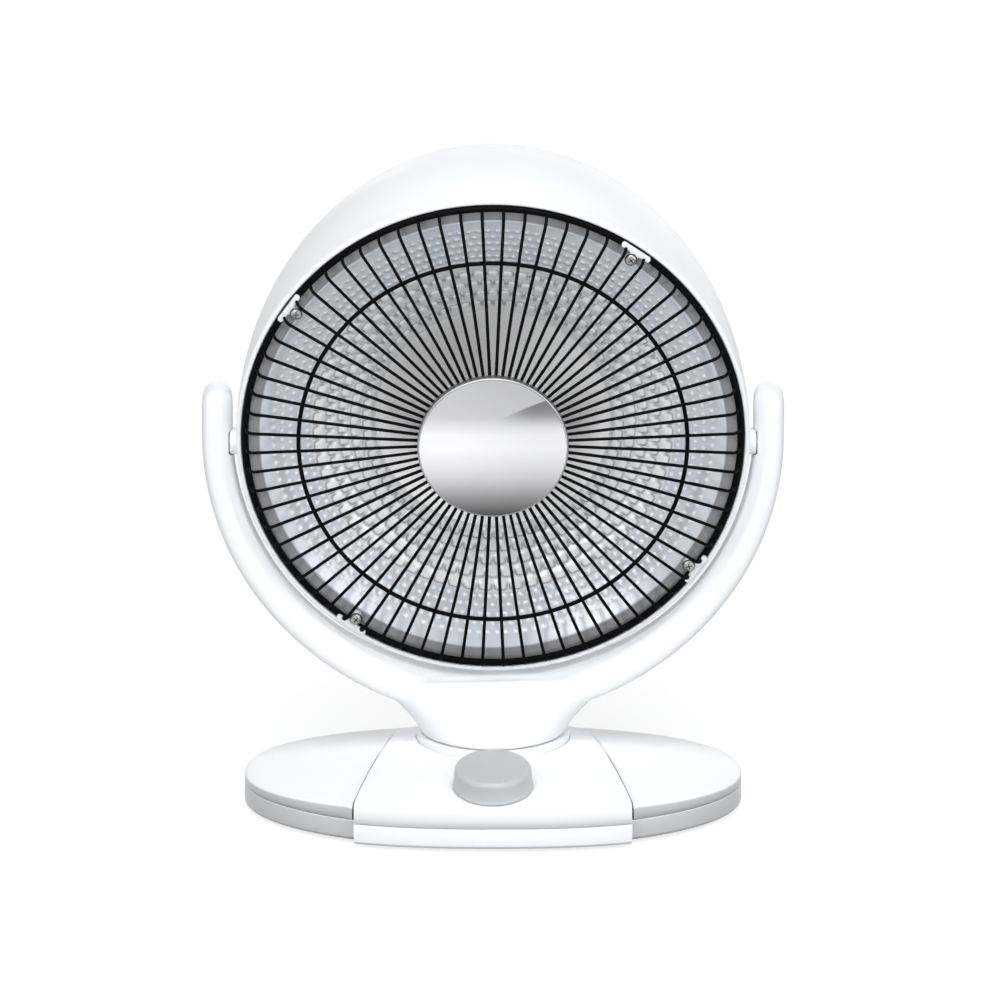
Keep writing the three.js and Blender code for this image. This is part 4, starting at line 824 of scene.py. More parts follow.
def guard_wire_path():
    """One radial wire in its own (radius, depth) plane: from the rim ring, bent forward, to the hub."""
    start, first = Vector((GUARD_R - 0.6, 0.2)), Vector((GUARD_R - 0.7, -7))
    second, end = Vector((GUARD_R - 1.6, GUARD_FRONT)), Vector((GUARD_R - 5.5, GUARD_FRONT))
    steps = 9
    bend = []
    for i in range(steps):
        t = i / (steps - 1)
        bend.append(
            start * (1 - t) ** 3 + first * 3 * t * (1 - t) ** 2 + second * 3 * t**2 * (1 - t) + end * t**3
        )
    return bend + [Vector((r, GUARD_FRONT)) for r in (120, 90, 60, HUB_R - 1)]


def guard():
    """The rim ring, the middle ring and the radial wires with the hub that they end in."""
    rim = mesh_of("guard_outer_ring", *tube(circle(GUARD_R, 0, RING_STEPS), GUARD_RING_WIRE, 14, True))
    place_piece(rim, "guard_outer_ring", "head", "black_wire", BLACK_WIRE, ["guard_rim"], BOWL, 60)
    behind = GUARD_FRONT + WIRE_R + MIDDLE_RING_WIRE - 0.1
    middle_path = circle(MIDDLE_RING_R, behind, RING_STEPS)
    middle = mesh_of("guard_middle_ring", *tube(middle_path, MIDDLE_RING_WIRE, 12, True))
    place_piece(middle, "guard_middle_ring", "head", "black_wire", BLACK_WIRE, ["guard_ring"], BOWL, 60)
    profile = guard_wire_path()
    parts = []
    for i in range(WIRE_COUNT):
        angle = 2 * math.pi * (i + 0.5) / WIRE_COUNT
        path = [(p.x * math.cos(angle), p.y, p.x * math.sin(angle)) for p in profile]
        parts.append(tube(path, WIRE_R, 8))
    spokes = gather("guard_spokes", parts)
    place_piece(spokes, "guard_spokes", "head", "black_wire", BLACK_WIRE, ["guard_wires"], BOWL, 60)
    hub_hole_r, edge = 2, 0.4
    front, back = GUARD_FRONT - HUB_HALF_DEPTH, GUARD_FRONT + HUB_HALF_DEPTH
    profile = [
        (hub_hole_r, front), (HUB_R - edge, front), (HUB_R, front + edge),
        (HUB_R, back - edge), (HUB_R - edge, back), (hub_hole_r, back),
    ]
    hub = lathe("guard_hub", profile, 96)
    place_piece(hub, "guard_hub", "head", "black_wire", BLACK_WIRE, place=BOWL)


def guard_cap():
    """The round cap over the hub: a bevelled bright edge around a slightly domed face, left bare."""
    back = GUARD_FRONT - 1.8
    front = back - CAP_HEIGHT
    face_r = CAP_R - 1.3
    dome = 1.1
    face = [(face_r * k / 12, front + dome * (k / 12) ** 2) for k in range(12)]
    face[0] = (AXIS_R, front)
    profile = face + [
        (face_r, front + dome), (face_r + 0.15, front + dome + 0.25), (CAP_R - 0.6, front + dome + 0.4),
        (CAP_R - 0.2, front + dome + 0.8), (CAP_R, front + dome + 1.5), (CAP_R, back),
        (CAP_R - 1.2, back), (CAP_R - 1.2, front + dome + 2.4), (face_r - 1, front + dome + 1.6),
        (AXIS_R, front + 1.4),
    ]
    mesh = lathe("hub_cap", profile, 144)
    piece = place_piece(mesh, "hub_cap", "head", "chrome", CHROME, ["guard_cap"], BOWL, 35, own_axes=True)
    piece.data.materials.append(BRIGHT_EDGE)
    for polygon in piece.data.polygons:
        middle = polygon.center
        if math.hypot(middle.x, middle.z) > (face_r + 0.3) * MM:
            polygon.material_index = 1


hood()
for boss_side, boss_name in ((-1, "pivot_boss_left"), (1, "pivot_boss_right")):
    pivot_boss(boss_side, boss_name)
back_cover()
reflector()
guard()
guard_cap()

# ---- screws, clips and the heating element ------------------------------------------------------

SCREW_HEAD_R = 3.8
SCREW_HEAD_HEIGHT = 2.2
SHANK_R = 1.5
RECESS_HALF_LENGTH = 2.3
RECESS_HALF_WIDTH = 0.42
RECESS_TAPER = 0.55  # the recess's size at its bottom, as a share of its mouth


def screw_mesh(name, length):
    """A pan-head screw along +Y with a cross recess. Its head's face is at y = 0. Its recess and the rim of
    its head take painted shade.
    """
    profile = [
        (AXIS_R, 0), (1.4, 0.06), (2.5, 0.32), (3.3, 0.85), (3.72, 1.5),
        (SCREW_HEAD_R, SCREW_HEAD_HEIGHT - 0.2), (SCREW_HEAD_R - 0.2, SCREW_HEAD_HEIGHT),
        (SHANK_R, SCREW_HEAD_HEIGHT), (SHANK_R, length - 1), (AXIS_R, length),
    ]
    tools = []
    arm = RECESS_HALF_LENGTH, RECESS_HALF_WIDTH
    for long, wide in (arm, reversed(arm)):
        outline = [(-long, -wide), (long, -wide), (long, wide), (-long, wide)]
        points, faces = prism_parts(outline, -1, 1.25)
        sizes = [RECESS_TAPER if y > 0 else 1 for _, y, _ in points]
        points = [(x * size, y, z * size) for (x, y, z), size in zip(points, sizes)]
        tools.append(mesh_of(name + "_recess", points, faces))
    mesh = cut_from(lathe(name, profile, 40), *tools)
    mesh.materials.append(STEEL)
    mesh.materials.append(STEEL_PAINTED_SHADE)
    # Painted shade: the recess and the steep rim of the head take the dark steel.
    for polygon in mesh.polygons:
        x, y, z = polygon.center / MM
        reach = math.hypot(x, z)
        recess = reach < RECESS_HALF_LENGTH and 0.45 < y < 1.4
        rim = reach > 3.4 and y < SCREW_HEAD_HEIGHT
        polygon.material_index = 1 if recess or rim else 0
    return mesh


def place_screw(pattern, name, body, place, turn):
    """A copy of a screw that stands for the CAD node of the same name, given a turn of its own."""
    spin = Matrix.Rotation(turn, 4, "Y")
    place_piece(pattern.copy(), name + "_fine", body, "steel", None, [name], place @ spin, 30)


def at_clip(angle, radius, depth):
    """The place of a small piece at the guard's rim, its local X pointing outward."""
    return BOWL @ Matrix.Rotation(-math.radians(angle), 4, "Y") @ shift(radius, depth, 0)


CLIP_FACE = -4.4
CLIP_THICKNESS = 2


def clip_mesh():
    """A retaining clip: a long tab over the rim ring, and a foot under the screw."""
    tab_low, tab_high, tab_half = GUARD_R - 1.3, GUARD_R + 1.9, 10
    foot_low, foot_half = CLIP_SCREW_R - 3, 2.8
    outline = [
        (foot_low, -foot_half), (tab_low, -foot_half), (tab_low, -tab_half), (tab_high, -tab_half),
        (tab_high, tab_half), (tab_low, tab_half), (tab_low, foot_half), (foot_low, foot_half),
    ]
    smooth = rounded([(x - CLIP_SCREW_R, z) for x, z in outline], [2.6, 1, 1.5, 1.5, 1.5, 1.5, 1, 2.6], 5)
    plate = mesh_of("clip_plate", *prism_parts(smooth, 0, CLIP_THICKNESS))
    foot = rounded([(-2.8, -2.6), (2.3, -2.6), (2.3, 2.6), (-2.8, 2.6)], 1.5, 3)
    block = mesh_of("clip_foot", *prism_parts(foot, 0.5, FLANGE_DEPTH - 0.2 - CLIP_FACE))
    mesh = cut_from(combined(plate, [block], "UNION"), pin("clip_hole", 1.8, -1, 12))
    return softened(mesh, 0.3)


def softened(mesh, width):
    """The mesh with its sharp edges rounded."""
    body = added("soften", mesh)
    bevel = body.modifiers.new("bevel", "BEVEL")
    bevel.width = width * MM
    bevel.segments = 3
    bevel.limit_method = "ANGLE"
    bevel.angle_limit = math.radians(50)
    bevel.harden_normals = False
    return applied(body)


def clips_and_screws():
    """The guard's four clips with their screws, and the back cover's four screws."""
    clip = clip_mesh()
    long_screw = screw_mesh("clip_screw", 16)
    for i, angle in enumerate(CLIP_ANGLES):
        number = 4 - i  # the CAD counts them the other way round
        place = at_clip(angle, CLIP_SCREW_R, CLIP_FACE)
        name = f"guard_clip_{number}"
        place_piece(clip.copy(), name + "_fine", "head", "white_plastic", CLIP_WHITE, [name], place, 35)
        head_face = CLIP_FACE - 0.3 - SCREW_HEAD_HEIGHT
        place = at_clip(angle, CLIP_SCREW_R, head_face)
        place_screw(long_screw, f"guard_screw_{number}", "head", place, math.radians(20 + 37 * i))
    short_screw = screw_mesh("cover_screw", 9)
    for i in range(4):
        angle = math.radians(45 + 90 * i)
        across, up = (COVER_R - 4) * math.cos(angle), (COVER_R - 4) * math.sin(angle)
        depth = COVER_SEAT + COVER_THICKNESS + 0.3 + SCREW_HEAD_HEIGHT
        seat = shift(across, depth, up + hood_rise(COVER_SEAT))
        place = BOWL @ seat @ Matrix.Rotation(math.pi, 4, "Z")
        place_screw(short_screw, f"back_cover_screw_{4 - i}", "head", place, math.radians(15 + 51 * i))


CORE_R = 11
ELEMENT_FLANGE_R = 15
CORE_GROOVES = 6
CORE_GROOVE = [(0, 0), (0.5, 0.5), (0.5, 1.4), (0, 1.9)]  # (depth, place along the core)
COIL_LOOPS = 5
COIL_PITCH = 4.2
COIL_WIRE_R = 0.8
COIL_R = CORE_R + 0.5 + COIL_WIRE_R
DISH_BACK = dish_depth(SOCKET_HOLE_R)
CORE_BACK = DISH_BACK - 4.3
CORE_FRONT = CORE_BACK - 34


def heating_element():
    """A ceramic core with rings of grooves, and the wire wound round it."""
    flange_back = CORE_FRONT + 3
    profile = [
        (AXIS_R, CORE_FRONT), (ELEMENT_FLANGE_R - 1, CORE_FRONT), (ELEMENT_FLANGE_R, CORE_FRONT + 0.8),
        (ELEMENT_FLANGE_R, flange_back - 0.5), (ELEMENT_FLANGE_R - 0.5, flange_back), (CORE_R, flange_back),
    ]
    for i in range(CORE_GROOVES):
        start = flange_back + 4 + i * COIL_PITCH
        profile += [(CORE_R - cut, start + step) for cut, step in CORE_GROOVE]
    profile += [(CORE_R, CORE_BACK), (AXIS_R, CORE_BACK)]
    core = lathe("ceramic_core", profile, 64)
    place_piece(core, "ceramic_core", "head", "ceramic", CERAMIC, ["element_core"], BOWL)
    wound = COIL_LOOPS * COIL_PITCH
    first = (flange_back + 0.3 + CORE_BACK - wound) / 2
    steps = 40
    coil = []
    for i in range(COIL_LOOPS * steps + 1):
        turn = 2 * math.pi * i / steps
        coil.append((COIL_R * math.cos(turn), first + COIL_PITCH * i / steps, -COIL_R * math.sin(turn)))
    lead_in = [(COIL_R, flange_back + 0.4, 2.2), (COIL_R, flange_back + 1.6, 1.2)]
    lead_out = [(COIL_R, CORE_BACK - 1.6, -1.2), (COIL_R, CORE_BACK - 0.1, -2.2)]
    wire = mesh_of("wound_wire", *tube(lead_in + coil + lead_out, COIL_WIRE_R, 10))
    place_piece(wire, "wound_wire", "head", "nichrome", HOT_WIRE, ["heating_wire"], BOWL, 60)


clips_and_screws()
heating_element()

# ---- base ---------------------------------------------------------------------------------------


def plan_reach(angle, proud=0.0):
    """How far the base's plan reaches from its middle in a direction: an ellipse in front, squarer behind."""
    c, s = math.cos(angle), math.sin(angle)
    front_power = PANEL_FRONT_SQUARENESS if proud else 2
    power = BASE_REAR_SQUARENESS if s > 0 else front_power
    half = BASE_HALF_WIDTH + proud
    depth = BASE_REAR_DEPTH if s > 0 else BASE_FRONT_DEPTH + proud
    return (abs(c / half) ** power + abs(s / depth) ** power) ** (-1 / power)


def keyhole(margin):
    """The keyhole plan of the centre panel, grown by margin: its arc, front corner and where they meet."""
    radius = PANEL_REAR_R + margin
    corner = Vector((PANEL_HALF_WIDTH + margin, PANEL_CORNER_Y))
    start = math.atan2(corner.y, corner.x) + math.acos(radius / corner.length)
    touch = Vector((radius * math.cos(start), radius * math.sin(start)))
    return radius, corner, touch


def keyhole_reach(angle, margin=0.0):
    """How far the keyhole's edge is from the base's middle in a direction."""
    radius, corner, touch = keyhole(margin)
    c, s = abs(math.cos(angle)), math.sin(angle)
    origin = Vector((0, BASE_MIDDLE_Y))
    ray = Vector((c, s))
    # the round rear part, centred on the swivel
    nearest = -origin.dot(ray)
    reach = nearest + math.sqrt(max(0, radius**2 - origin.length_squared + nearest**2))
    if (origin + ray * reach).y >= touch.y:
        return reach
    # the straight flank from the round part to the corner, and straight on forward
    for first, last in ((touch, corner), (corner, corner + Vector((0, -40000)))):
        edge = last - first
        cross = ray.x * edge.y - ray.y * edge.x
        if abs(cross) < 1e-9:
            continue
        t = ((first.x - origin.x) * edge.y - (first.y - origin.y) * edge.x) / cross
        u = ((first.x - origin.x) * ray.y - (first.y - origin.y) * ray.x) / cross
        if t > 0 and -1e-6 <= u <= 1 + 1e-6:
            return t
    return reach


def crown_height(angle, reach, raised=0.0, proud=0.0):
    """The height of the base's crown at a place given by direction and distance from its middle."""
    full = plan_reach(angle, proud)
    x = full * math.cos(angle)
    low = RIM_Z - TIP_DROP * (x / BASE_HALF_WIDTH) ** 2 + raised
    share = min(1, reach / full)
    return low + (CROWN_Z + raised - low) * (1 - share**CROWN_POWER)


def plan_point(angle, reach, height):
    return (reach * math.cos(angle), BASE_MIDDLE_Y + reach * math.sin(angle), height)


def seam_angle(margin, proud=0.0):
    """The direction, on the right side, in which the keyhole's flank meets the base's edge."""
    low, high = math.radians(-85), math.radians(0)
    for _ in range(60):
        middle = (low + high) / 2
        if keyhole_reach(middle, margin) > plan_reach(middle, proud):
            low = middle
        else:
            high = middle
    return (low + high) / 2


SEAM_GAP = 1.2
EDGE_R = 1.3


def edge_drop(distance, radius=EDGE_R):
    """How far a rounded edge falls at a distance from its side wall."""
    if distance >= radius:
        return 0
    return radius - math.sqrt(max(0, radius**2 - (radius - distance) ** 2))


def wing_cover():
    """The base's cover around the centre panel: two wings joined behind it."""
    start = seam_angle(SEAM_GAP) + 1e-4
    columns = 220
    bottom = SEAM_Z + 0.25
    seam_steps = [0, 0.12, 0.35, 0.7, 1.1, EDGE_R]
    points = []
    for j in range(columns + 1):
        angle = start + (math.pi - 2 * start) * j / columns
        inner, outer = keyhole_reach(angle, SEAM_GAP), plan_reach(angle)
        room = max(0, outer - inner)
        cells = 14
        reaches = [inner + min(step, room / 2) for step in seam_steps]
        last_inner = reaches[-1]
        rim = [outer - min(step, room / 2) for step in reversed(seam_steps)]
        reaches += [last_inner + (rim[0] - last_inner) * k / cells for k in range(1, cells)] + rim
        column = [plan_point(angle, inner, bottom)]
        for reach in reaches:
            drop = max(edge_drop(reach - inner), edge_drop(outer - reach, 1.8))
            column.append(plan_point(angle, reach, crown_height(angle, reach) - drop))
        column.append(plan_point(angle, outer, bottom + 0.5))
        column.append(plan_point(angle, max(inner, outer - 0.5), bottom))
        points.append(column)
    rows = len(points[0])
    flat = [p for column in points for p in column]
    faces = grid_faces(columns + 1, rows)
    mesh = mesh_of("wing_cover", flat, faces, 0.004)
    place_piece(mesh, "wing_cover", "base", "white_plastic", BASE_WHITE, ["base_cover"], SWIVEL, 50)


def around_panel(margin):
    """Directions all round the base's middle, closer at the panel's front corners."""
    corner = seam_angle(margin, PANEL_FRONT_PROUD)
    ends = [corner, math.pi - corner]
    rear = np.linspace(ends[0], ends[1], 150)
    front = np.linspace(ends[1], ends[0] + 2 * math.pi, 110)[1:-1]
    return [float(a) for a in rear] + [float(a) for a in front]


def panel_reach(angle, margin=0.0):
    return min(keyhole_reach(angle, margin), plan_reach(angle, PANEL_FRONT_PROUD))


def seat_floor(angle, reach):
    """The lower edge of the collar's seat, below the panel's surface all round."""
    return crown_height(angle, reach, PANEL_PROUD, PANEL_FRONT_PROUD) - 2


def control_panel():
    """The centre panel: a crowned keyhole block with a seat for the collar and a dished seat for the knob."""
    bottom = SEAM_Z + 0.25
    directions = around_panel(0)
    middle = Vector((0, BASE_MIDDLE_Y))
    seat_r = COLLAR_R + 0.35
    rows = []
    inner = []
    for angle in directions:
        ray = Vector((math.cos(angle), math.sin(angle)))
        nearest = -middle.dot(ray)
        inner.append(nearest + math.sqrt(seat_r**2 - middle.length_squared + nearest**2))
    seat = [(a, r, min(COLLAR_BOTTOM_Z, seat_floor(a, r))) for a, r in zip(directions, inner)]
    rows.append([plan_point(*place) for place in seat])
    cells = 26
    edge_steps = [EDGE_R, 1.0, 0.62, 0.34, 0.12, 0]
    for k in range(cells + len(edge_steps)):
        row = []
        for angle, start in zip(directions, inner):
            outer = panel_reach(angle)
            if k < cells:
                reach = start + (outer - EDGE_R - start) * k / cells
            else:
                reach = outer - edge_steps[k - cells]
            height = crown_height(angle, reach, PANEL_PROUD, PANEL_FRONT_PROUD)
            height -= edge_drop(outer - reach)
            x, y, _ = plan_point(angle, reach, 0)
            row.append((x, y, height - knob_seat(x, y)))
        rows.append(row)
    rows.append([plan_point(a, panel_reach(a), bottom + 0.4) for a in directions])
    rows.append([plan_point(a, panel_reach(a) - 0.4, bottom) for a in directions])
    rows.append([plan_point(a, r + 0.5, bottom) for a, r in zip(directions, inner)])
    flat = [p for row in rows for p in row]
    mesh = mesh_of("panel_block", flat, grid_faces(len(rows), len(directions), True), 0.002)
    place_piece(mesh, "panel_block", "base", "white_plastic", BASE_WHITE, ["control_panel"], SWIVEL, 50)


def knob_seat(x, y):
    """The shallow round seat that the knob stands in."""
    distance = math.hypot(x, (y - KNOB_Y) / math.cos(KNOB_TILT))
    return 0.6 * (1 - smooth_step(distance, KNOB_R + 0.4, KNOB_R + 1.8))


WALL = 2.4
TRAY_FLOOR_Z = TRAY_BOTTOM_Z + WALL
# Places under the base, from the swivel.
BASE_SCREWS = [(-118, -24), (118, -24), (-104, 8), (104, 8), (-58, -62), (58, -62), (0, 48)]
BASE_SCREW_Z = 3.4
PLUNGER_PLACE = (-42, 12)
GLAND_Z = 9


def upright_pin(name, radius, place):
    """A pin through the tray's floor, to cut a hole with."""
    made = upright(pin(name, radius, 0, TRAY_FLOOR_Z + 3))
    made.transform(shift(*place, 0))
    return made


def tray():
    """The tray under the covers: its edge steps forward under the centre panel."""
    corner = seam_angle(0)
    front_corner = seam_angle(0, PANEL_FRONT_PROUD)
    directions = [float(a) for a in np.linspace(corner, math.pi - corner, 160)]
    left, right = math.pi - front_corner, 2 * math.pi + front_corner
    front = [float(a) for a in np.linspace(left + 0.004, right - 0.004, 100)]
    proud = [0.0] * len(directions) + [PANEL_FRONT_PROUD] * (len(front) + 2)
    directions += [left, *front, right]

    def ring(inset, height):
        return [plan_point(a, plan_reach(a, p) - inset, height) for a, p in zip(directions, proud)]

    rows = [
        ring(WALL, TRAY_FLOOR_Z), ring(WALL, SEAM_Z - 0.3), ring(WALL - 0.3, SEAM_Z), ring(0.5, SEAM_Z),
        ring(0.15, SEAM_Z - 0.15), ring(0, SEAM_Z - 0.5), ring(0, TRAY_BOTTOM_Z + 2.2),
        ring(0.3, TRAY_BOTTOM_Z + 1.1), ring(1.1, TRAY_BOTTOM_Z + 0.3), ring(2.2, TRAY_BOTTOM_Z),
    ]
    count = len(directions)
    flat = [p for row in rows for p in row]
    faces = grid_faces(len(rows), count)
    faces.append(tuple((len(rows) - 1) * count + k for k in range(count)))
    faces.append(tuple(reversed(range(count))))
    shell = mesh_of("tray_shell", flat, faces, 0.002)
    holes = [upright_pin("screw_pocket", SCREW_HEAD_R + 0.3, place) for place in BASE_SCREWS]
    holes.append(upright_pin("plunger_hole", 3.8, PLUNGER_PLACE))
    gland_hole = pin("gland_hole", 4.1, 0, 30)
    gland_hole.transform(shift(0, BASE_MIDDLE_Y + BASE_REAR_DEPTH - 15, GLAND_Z))
    mesh = cut_from(shell, *holes, gland_hole)
    place_piece(mesh, "tray_shell", "base", "white_plastic", BASE_WHITE, ["base_tray"], SWIVEL, 50)


def collar():
    """The ring that the neck turns in, its rim running down into the panel's seat."""
    inner, bottom, step = 24.1, COLLAR_BOTTOM_Z + 0.1, COLLAR_TOP_Z - 1.3
    profile = [
        (inner, bottom), (COLLAR_R - 2, bottom), (COLLAR_R - 2, COLLAR_SKIRT_Z),
        (COLLAR_R - 0.3, COLLAR_SKIRT_Z), (COLLAR_R, COLLAR_SKIRT_Z + 0.3),
        (COLLAR_R, COLLAR_TOP_Z - 1.2), (COLLAR_R - 0.35, COLLAR_TOP_Z - 0.4),
        (COLLAR_R - 1.2, COLLAR_TOP_Z), (38.5, COLLAR_TOP_Z), (38.5, step), (inner, step),
    ]
    mesh = upright(lathe("collar_ring", profile, 160))
    place_piece(mesh, "collar_ring", "base", "white_plastic", PANEL_WHITE, ["swivel_collar"], SWIVEL)


def knob():
    """A plain round knob with a soft top edge and a fine flange at its foot."""
    base = 0.02
    top = KNOB_HEIGHT - 0.3
    profile = [
        (AXIS_R, base), (KNOB_R - 0.6, base), (KNOB_R - 0.1, base + 0.25), (KNOB_R, base + 0.7),
        (KNOB_R - 0.05, base + 1.5), (KNOB_R - 0.45, base + 1.9), (KNOB_R - 0.6, base + 2.4),
        (KNOB_R - 0.95, top - 3.4),
    ]
    turn_r = 3.2
    face_r = KNOB_R - 1 - turn_r
    for k in range(1, 9):
        turn = math.pi / 2 * k / 8
        profile.append((face_r + turn_r * math.cos(turn), top - turn_r + turn_r * math.sin(turn)))
    profile += [(face_r * (1 - k / 8), top - 0.35 * (k / 8) * (2 - k / 8)) for k in range(1, 8)]
    profile.append((AXIS_R, top - 0.35))
    mesh = upright(lathe("round_knob", profile, 128))
    axis = next(joint for joint in frame["joints"] if joint["name"] == "knob_turn")
    tilt = Matrix.Rotation(KNOB_TILT, 4, "X")
    seat = Matrix.Translation(axis["pos_m"]) @ tilt @ shift(0, 0, -0.3)
    place_piece(mesh, "round_knob", "knob", "grey_plastic", KNOB_GREY, ["knob"], seat)


FEET = [(-112, -46), (112, -46), (-108, 34), (108, 34)]


def feet():
    """Four round rubber feet with a recessed face."""
    profile = [
        (AXIS_R, 0.5), (5.6, 0.5), (6.4, 0), (8, 0), (8.6, 0.25), (9, 0.9),
        (9, 2.2), (3, 2.2), (3, 6), (AXIS_R, 6),
    ]
    pattern = upright(lathe("foot", profile, 48))
    for i, (x, y) in enumerate(FEET):
        place = SWIVEL @ shift(x, y, 0)
        name = f"rubber_foot_{i + 1}"
        place_piece(pattern.copy(), name + "_fine", "base", "rubber", RUBBER, [name], place)


def underside():
    """The screws under the base, the tip-over plunger and the cord's gland."""
    pattern = screw_mesh("base_screw", 14)
    names = [f"cover_screw_{i}" for i in range(1, 5)] + [f"panel_screw_{i}" for i in range(1, 4)]
    stand = Matrix.Rotation(math.radians(90), 4, "X")
    for i, (name, (x, y)) in enumerate(zip(names, BASE_SCREWS)):
        place = SWIVEL @ shift(x, y, BASE_SCREW_Z) @ stand
        place_screw(pattern, name, "base", place, 0.7 * i)
    profile = [(AXIS_R, 0), (2.3, 0), (3.1, 0.35), (3.5, 1.1), (3.5, 14.9), (AXIS_R, 14.9)]
    plunger = upright(lathe("plunger_fine", profile, 40))
    place = SWIVEL @ shift(*PLUNGER_PLACE, 0)
    place_piece(plunger, "plunger_fine", "tip_plunger", "black_plastic", BLACK, ["tip_plunger"], place)
    profile = [(2.6, 0), (3.1, -0.4), (5.6, -0.4), (6.1, 0.1), (6.1, 1.9), (3.8, 1.9), (3.8, 8.3), (2.6, 8.3)]
    gland = lathe("gland_ring", [(r, 2 - depth) for r, depth in profile], 40)
    place = SWIVEL @ shift(0, BASE_MIDDLE_Y + BASE_REAR_DEPTH + 0.3, GLAND_Z)
    place_piece(gland, "gland_ring", "base", "grey_plastic", KNOB_GREY, ["cord_gland"], place)


wing_cover()
control_panel()
tray()
collar()
knob()
feet()
underside()


# ---- yoke ---------------------------------------------------------------------------------------

YOKE_CENTRE_Z = 230
YOKE_INNER_R = 155.5
YOKE_OUTER_R = 174
YOKE_BOTTOM_Z = 44
ARM_TOP_Z = 259
ARM_FRONT_Y = -11.5
ARM_BACK_Y = 17
FOOT_HALF_DEPTH = 30
FOOT_FRONT_DEPTH = 20  # the ring's front at its lowest point, where the neck runs on forward
SHELL_SPLIT_Y = 4
SHELL_GAP = 0.3
STRIP_WIDTH = 7.5
STRIP_DEPTH = 9
# The neck from its foot upward, as (height, half width, half depth).
PEDESTAL = [(0, 43, 43), (6, 46.3, 41.5), (14, 53.3, 38.2), (24, 64, 34), (36, 80, 30.5)]
NECK_LEAN = 11  # how far the neck's front has leaned back at its top
NECK_LEAN_POWER = 1.3
YOKE_SCREW_R = (YOKE_INNER_R + YOKE_OUTER_R) / 2 + 0.5
YOKE_SCREW_ANGLES = [math.radians(a) for a in (-64.5, 64.5, -31, 31)]
YOKE_SCREWS = [
    (YOKE_SCREW_R * math.sin(a), YOKE_CENTRE_Z - YOKE_SCREW_R * math.cos(a)) for a in YOKE_SCREW_ANGLES
]
YOKE_SCREW_FACE_Y = 16
YOKE_VOXEL = 1.3


def arm_section(angle):
    """The arm's rounded section as (radius, y): flat outside, a sloping strip along its inner front."""
    broad = max(0, math.cos(angle)) ** 6
    front = ARM_FRONT_Y - (FOOT_FRONT_DEPTH + ARM_FRONT_Y) * broad
    back = ARM_BACK_Y + (FOOT_HALF_DEPTH - ARM_BACK_Y) * broad
    corners = [
        (YOKE_INNER_R, front + STRIP_DEPTH), (YOKE_INNER_R + STRIP_WIDTH, front), (YOKE_OUTER_R, front),
        (YOKE_OUTER_R, back), (YOKE_INNER_R, back),
    ]
    return rounded(corners, [2, 2.5, 6.5, 6.5, 4], 5)


def arms_parts():
    """Points and faces of the yoke's ring with its two round-ended arms."""
    middle = (YOKE_INNER_R + YOKE_OUTER_R) / 2
    round_r = (YOKE_OUTER_R - YOKE_INNER_R) / 2
    straight = ARM_TOP_Z - YOKE_CENTRE_Z - round_r
    stations = []
    tops = [math.radians(t) for t in (86, 75, 64, 53, 42, 31, 20, 10, 0)]
    for turn in tops:
        stations.append((-math.pi / 2, straight + round_r * math.sin(turn), math.cos(turn)))
    around = 120
    stations += [(-math.pi / 2 + math.pi * i / around, 0, 1) for i in range(around + 1)]
    for turn in reversed(tops):
        stations.append((math.pi / 2, straight + round_r * math.sin(turn), math.cos(turn)))
    points = []
    for angle, rise, squeeze in stations:
        for radius, y in arm_section(angle):
            at = middle + (radius - middle) * squeeze
            points.append((at * math.sin(angle), y, YOKE_CENTRE_Z + rise - at * math.cos(angle)))
    count = len(arm_section(0))
    faces = grid_faces(len(stations), count)
    faces.append(tuple(reversed(range(count))))
    faces.append(tuple(range((len(stations) - 1) * count, len(stations) * count)))
    return points, faces


def pedestal_parts():
    """Points and faces of the neck: oval, flaring upward, and closed under the ring's inner side."""
    heights, halves_x, halves_y = zip(*PEDESTAL)
    rows, sides = 30, 72
    fit_x = np.polyfit(heights, halves_x, 3)
    fit_y = np.polyfit(heights, halves_y, 3)
    points = []
    for i in range(rows + 1):
        height = heights[-1] * i / rows
        half_x, half_y = float(np.polyval(fit_x, height)), float(np.polyval(fit_y, height))
        front_y = half_y - NECK_LEAN * (height / heights[-1]) ** NECK_LEAN_POWER
        for k in range(sides):
            angle = 2 * math.pi * k / sides
            x, y = half_x * math.cos(angle), (front_y if math.sin(angle) < 0 else half_y) * math.sin(angle)
            ceiling = YOKE_CENTRE_Z - math.sqrt((YOKE_INNER_R + 3) ** 2 - x**2)
            points.append((x, y, min(YOKE_BOTTOM_Z + height, ceiling - 0.01 * (rows - i))))
    faces = grid_faces(rows + 1, sides)
    faces.append(tuple(reversed(range(sides))))
    faces.append(tuple(range(rows * sides, (rows + 1) * sides)))
    return points, faces


def half_of(mesh, keep_front):
    """The mesh on one side of the shells' parting plane, closed along it."""
    made = bmesh.new()
    made.from_mesh(mesh)
    at = SHELL_SPLIT_Y if keep_front else SHELL_SPLIT_Y + SHELL_GAP
    normal = Vector((0, 1, 0)) if keep_front else Vector((0, -1, 0))
    geometry = made.verts[:] + made.edges[:] + made.faces[:]
    cut = bmesh.ops.bisect_plane(
        made, geom=geometry, plane_co=Vector((0, at * MM, 0)), plane_no=normal, clear_outer=True
    )
    edges = [e for e in cut["geom_cut"] if isinstance(e, bmesh.types.BMEdge)]
    bmesh.ops.holes_fill(made, edges=edges)
    half = bpy.data.meshes.new("yoke_half")
    made.to_mesh(half)
    made.free()
    return half


def pin_between(name, radius, start, end):
    """A round pin between two points in millimetres, to cut a hole with."""
    way = Vector(end) - Vector(start)
    made = pin(name, radius, 0, way.length, 32)
    turn = Vector((0, 1, 0)).rotation_difference(way).to_matrix().to_4x4()
    made.transform(shift(*start) @ turn)
    return made


